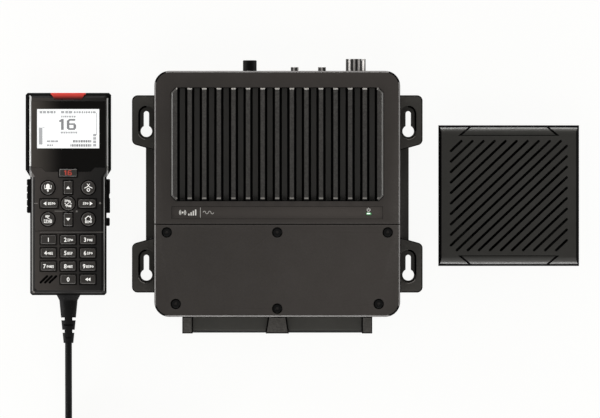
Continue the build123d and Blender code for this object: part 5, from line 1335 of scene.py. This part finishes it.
def draw_moats():
    """Painted shade: dark borders on the face round every key's opening."""
    gap_shade = Print(0, 0)
    for node in NUMBER_KEYS + SIGN_KEYS + ["key_channel"]:
        low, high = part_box(node)
        middle = (low + high) / 2 / MM
        half = (high - low) / 2 / MM + Vector((MOAT_INNER - KEY_FLANGE, MOAT_INNER - KEY_FLANGE, 0))
        if node in ROUND_KEYS:
            gap_shade.arc(middle.x, middle.y, half.x + MOAT / 2, MOAT, 0, 360, 40)
            continue
        for side in (-1, 1):
            reach_x, reach_y = (side * (part + MOAT / 2) for part in (half.x, half.y))
            gap_shade.bar(middle.x + reach_x, middle.y, MOAT, 2 * half.y + MOAT_CORNER * MOAT)
            gap_shade.bar(middle.x, middle.y + reach_y, 2 * half.x + MOAT_CORNER * MOAT, MOAT)
    gap_shade.finish("key_gap_shade", FACE_Z, "black and painted shade", "set")


class RADIO_OT_key_signs(bpy.types.Operator):
    """White figures, arrows and plain signs on the key caps, and painted shade round the keys"""
    bl_idname = "radio.key_signs"
    bl_label = "Key signs"

    def execute(self, context):
        for number in range(10):
            signs = on_key(f"key_{number}")
            fillers = FILLER_COUNTS.get(number, 0)
            width = fillers * FILLER_PITCH
            signs.figures(str(number), -width / 2, 0, FIGURE_HEIGHT, FIGURE_SQUEEZE, FIGURE_BOLD)
            signs.fillers(FIGURE_GAP - width / 2 + FILLER_PITCH / 2, FILLER_DROP, fillers, number)
            finish_key(signs, f"key_{number}")
        for node, marks in KEY_MARKS.items():
            signs = on_key(node)
            signs.stamp(marks)
            finish_key(signs, node)
        draw_moats()
        channel = on_key("key_channel")
        block_sixteen(channel, (0.2, 0), KEY_NUMBER)
        finish_key(channel, "key_channel", "red print")
        return {"FINISHED"}


SEAM_Y = -23.3
LABEL_Z = 55.5
LABEL_Y = -7.6
LAMP = (73.0, -8.4)
LAMP_SIGN_Y = 2.1
WAVE_X = -75.6

FACE_MARKS = [("bar", -25.8, -0.3, 2.9, 0.6), ("disc", 25.5, -0.1, 0.8), ("bar", -3.6, -6.5, 14.8, 0.45)]
FACE_MARKS += [("bar", 6.9, -6.6, 1.9, 0.35, turn) for turn in (0, math.pi / 3, -math.pi / 3)]
FACE_MARKS += [("bar", 3.0, SEAM_Y, 51.0, 0.3)]
# On the label strip: a sender's waves, a row of rising posts and a power sign.
LABEL_MARKS = [("disc", WAVE_X, 0, 0.8)]
LABEL_MARKS += [("arc", WAVE_X, 0, radius, 0.5, start, start + 100, 8) for radius in (1.7, 2.6)
                for start in (-50, 130)]
LABEL_MARKS += [("bar", -70.6 + 1.8 * step, (1.5 + 1.1 * step) / 2 - 2.4, 1.1, 1.5 + 1.1 * step)
                for step in range(4)]
LABEL_MARKS += [("arc", LAMP[0], LAMP_SIGN_Y, 1.2, 0.5, 125, 415, 20),
                ("bar", LAMP[0], LAMP_SIGN_Y + 1.0, 0.5, 1.5)]
# A divider and a wavy line beside them.
FINE_MARKS = [("bar", -61.4, 0, 0.45, 8.2)]
FINE_MARKS += [("arc", -58.2 + 2.1 * step, 0, 1.05, 0.5, 180 * (step % 2), 180 * (step % 2) + 180, 10)
               for step in range(4)]
# Piece, centre, marks, height and finish.
PRINTS = (("handset_face_signs", (HS_X, 0), FACE_MARKS, FACE_Z, "dim marks"),
          ("label_signs", (0, LABEL_Y), LABEL_MARKS, LABEL_Z, "label marks"),
          ("lamp_core", LAMP, [("bar", 0, 0, 2.6, 0.9)], LABEL_Z, "lamp core"),
          ("label_fine_signs", (0, LABEL_Y), FINE_MARKS, LABEL_Z, "fine marks"))


class RADIO_OT_prints(bpy.types.Operator):
    """Plain signs on the handset's face and on the transceiver's label strip"""
    bl_idname = "radio.prints"
    bl_label = "Prints"

    def execute(self, context):
        for name, centre, marks, height, material in PRINTS:
            signs = Print(*centre)
            signs.stamp(marks)
            signs.finish(name, height, material, "set")
        return {"FINISHED"}


# ---------------------------------------------------------------- speaker
BEZEL_FINISHES = ["speaker", "speaker rim highlight", "black and painted shade", "speaker roll painted sheen"]
# The two shallow bands: half their width at the rim and the foot, their reach and the widths of the painted
# shade lines round them.
BAND_RIM_HALF = 30.5
BAND_FOOT_HALF = 40.5
BAND_REACH = 8.4
BAND_END_LINE = 1.5
BAND_FOOT_LINE = 0.5
SIDE_SKIN = 0.5  # how far in from the sides a wall still counts as outside
HAIR = 0.01
# The rolled ends' slopes, from upright to level: painted shade on slot walls and the outer rim, a painted
# highlight, then a paler painted sheen on the roll.
SLOT_SLOPE = 0.5
RIM_SLOPE = 0.62
EDGE_SLOPE = 0.78
ROLL_SLOPE = 0.9


def band_planes(half):
    """The outlines of the bezel's two shallow bands: a place, the way in and the line's width for each."""
    lean = Vector((BAND_REACH, BAND_FOOT_HALF - BAND_RIM_HALF, 0)).normalized()
    planes = []
    for end in (-1, 1):
        foot = end * (half - BAND_REACH)
        planes.append((Vector((0, foot, 0)), Vector((0, end, 0)), BAND_FOOT_LINE))
        for side in (-1, 1):
            inwards = Vector((-side * lean.x, -end * lean.y, 0))
            planes.append((Vector((side * BAND_FOOT_HALF, foot, 0)), inwards, BAND_END_LINE))
    return planes


def cut_bands(shape, middle, half):
    """Cuts lines round the bezel's two shallow bands and paints them as shade."""
    planes = band_planes(half)
    for place, normal, width in planes:
        for offset in (0, width):
            faces = []
            for face in shape.faces:
                reach = face.calc_center_median().y / MM - middle.y
                if reach * place.y > 0 and abs(reach) > half - BAND_REACH - 10 * HAIR:
                    faces.append(face)
            parts = faces + list({edge for face in faces for edge in face.edges})
            parts += list({vertex for face in faces for vertex in face.verts})
            cut_plane(shape, parts, middle + place + normal * offset, normal)
    for face in shape.faces:
        spot = face.calc_center_median() / MM - middle
        depths = [((spot - place).dot(normal), width) for place, normal, width in planes
                  if place.y * spot.y > 0]
        inside = abs(spot.y) > half - BAND_REACH and all(depth > -HAIR for depth, _ in depths)
        near = any(0 < depth < width for depth, width in depths)
        if inside and near and face.normal.z > NEAR_UPRIGHT:
            give(face, BEZEL_FINISHES, "black and painted shade")


def mark_bezel(shape):
    """The bezel's rolled ends with a painted highlight and sheen, its slots and outermost rim with painted
    shade.
    """
    low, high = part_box("speaker_bezel")
    middle = (low + high) / 2 / MM
    half = (high - low) / 2 / MM
    middle.z = 0
    for face in shape.faces:
        slant = face.normal
        rolled = abs(slant.y) > abs(slant.x)
        spot = face.calc_center_median() / MM - middle
        outside = abs(spot.x) > half.x - SIDE_SKIN or abs(spot.y) > half.y - SIDE_SKIN
        if abs(slant.z) < UPRIGHT and outside:
            give(face, BEZEL_FINISHES, "speaker")
        elif abs(slant.z) < SLOT_SLOPE or rolled and SLOT_SLOPE <= slant.z < RIM_SLOPE:
            give(face, BEZEL_FINISHES, "black and painted shade")
        elif rolled and RIM_SLOPE < slant.z < EDGE_SLOPE:
            give(face, BEZEL_FINISHES, "speaker rim highlight")
        elif rolled and EDGE_SLOPE < slant.z < ROLL_SLOPE:
            give(face, BEZEL_FINISHES, "speaker roll painted sheen")
    cut_bands(shape, middle, half.y)


class RADIO_OT_speaker(bpy.types.Operator):
    """The extension speaker's bezel and tub"""
    bl_idname = "radio.speaker"
    bl_label = "Speaker"

    def execute(self, context):
        sizes, _ = settings()
        # The bezel's rounded edges are painted shade.
        rounded_node("speaker_bezel", BEZEL_FINISHES, sizes.plastic_edge, mark=mark_bezel,
                     rim="black and painted shade")
        rounded_node("speaker_housing", ["speaker"], sizes.plastic_edge)
        return {"FINISHED"}


# ---------------------------------------------------------------- sidebar and start
OPERATORS = (RADIO_OT_stage, RADIO_OT_lead, RADIO_OT_housing, RADIO_OT_connectors, RADIO_OT_inner_parts,
             RADIO_OT_handset, RADIO_OT_display, RADIO_OT_key_caps, RADIO_OT_key_signs, RADIO_OT_prints,
             RADIO_OT_speaker)


class RADIO_PT_sidebar(bpy.types.Panel):
    """The set's sizes, colours and pieces in the 3D view's sidebar"""
    bl_idname = "RADIO_PT_sidebar"
    bl_label = "Marine radio set"
    bl_space_type = "VIEW_3D"
    bl_region_type = "UI"
    bl_category = "Radio"

    def draw(self, context):
        for group in (context.scene.radio_sizes, context.scene.radio_colours):
            column = self.layout.column()
            for name in group.bl_rna.properties.keys():
                if name not in ("rna_type", "name"):
                    column.prop(group, name)
        for operator in OPERATORS:
            self.layout.operator(operator.bl_idname)


CLASSES = (RadioSizes, RadioColours) + OPERATORS + (RADIO_PT_sidebar,)


def register():
    """Registers the classes and hangs the settings on the scene."""
    for cls in CLASSES:
        bpy.utils.register_class(cls)
    bpy.types.Scene.radio_sizes = bpy.props.PointerProperty(type=RadioSizes)
    bpy.types.Scene.radio_colours = bpy.props.PointerProperty(type=RadioColours)


def unregister():
    """Takes the settings and the classes away again."""
    del bpy.types.Scene.radio_colours
    del bpy.types.Scene.radio_sizes
    for cls in reversed(CLASSES):
        bpy.utils.unregister_class(cls)


def main():
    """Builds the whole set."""
    register()
    make_materials()
    bpy.ops.radio.stage()
    bpy.ops.radio.lead()
    bpy.ops.radio.housing()
    bpy.ops.radio.connectors()
    bpy.ops.radio.inner_parts()
    bpy.ops.radio.handset()
    bpy.ops.radio.display()
    bpy.ops.radio.key_caps()
    bpy.ops.radio.key_signs()
    bpy.ops.radio.prints()
    bpy.ops.radio.speaker()


if __name__ == "__main__":
    main()
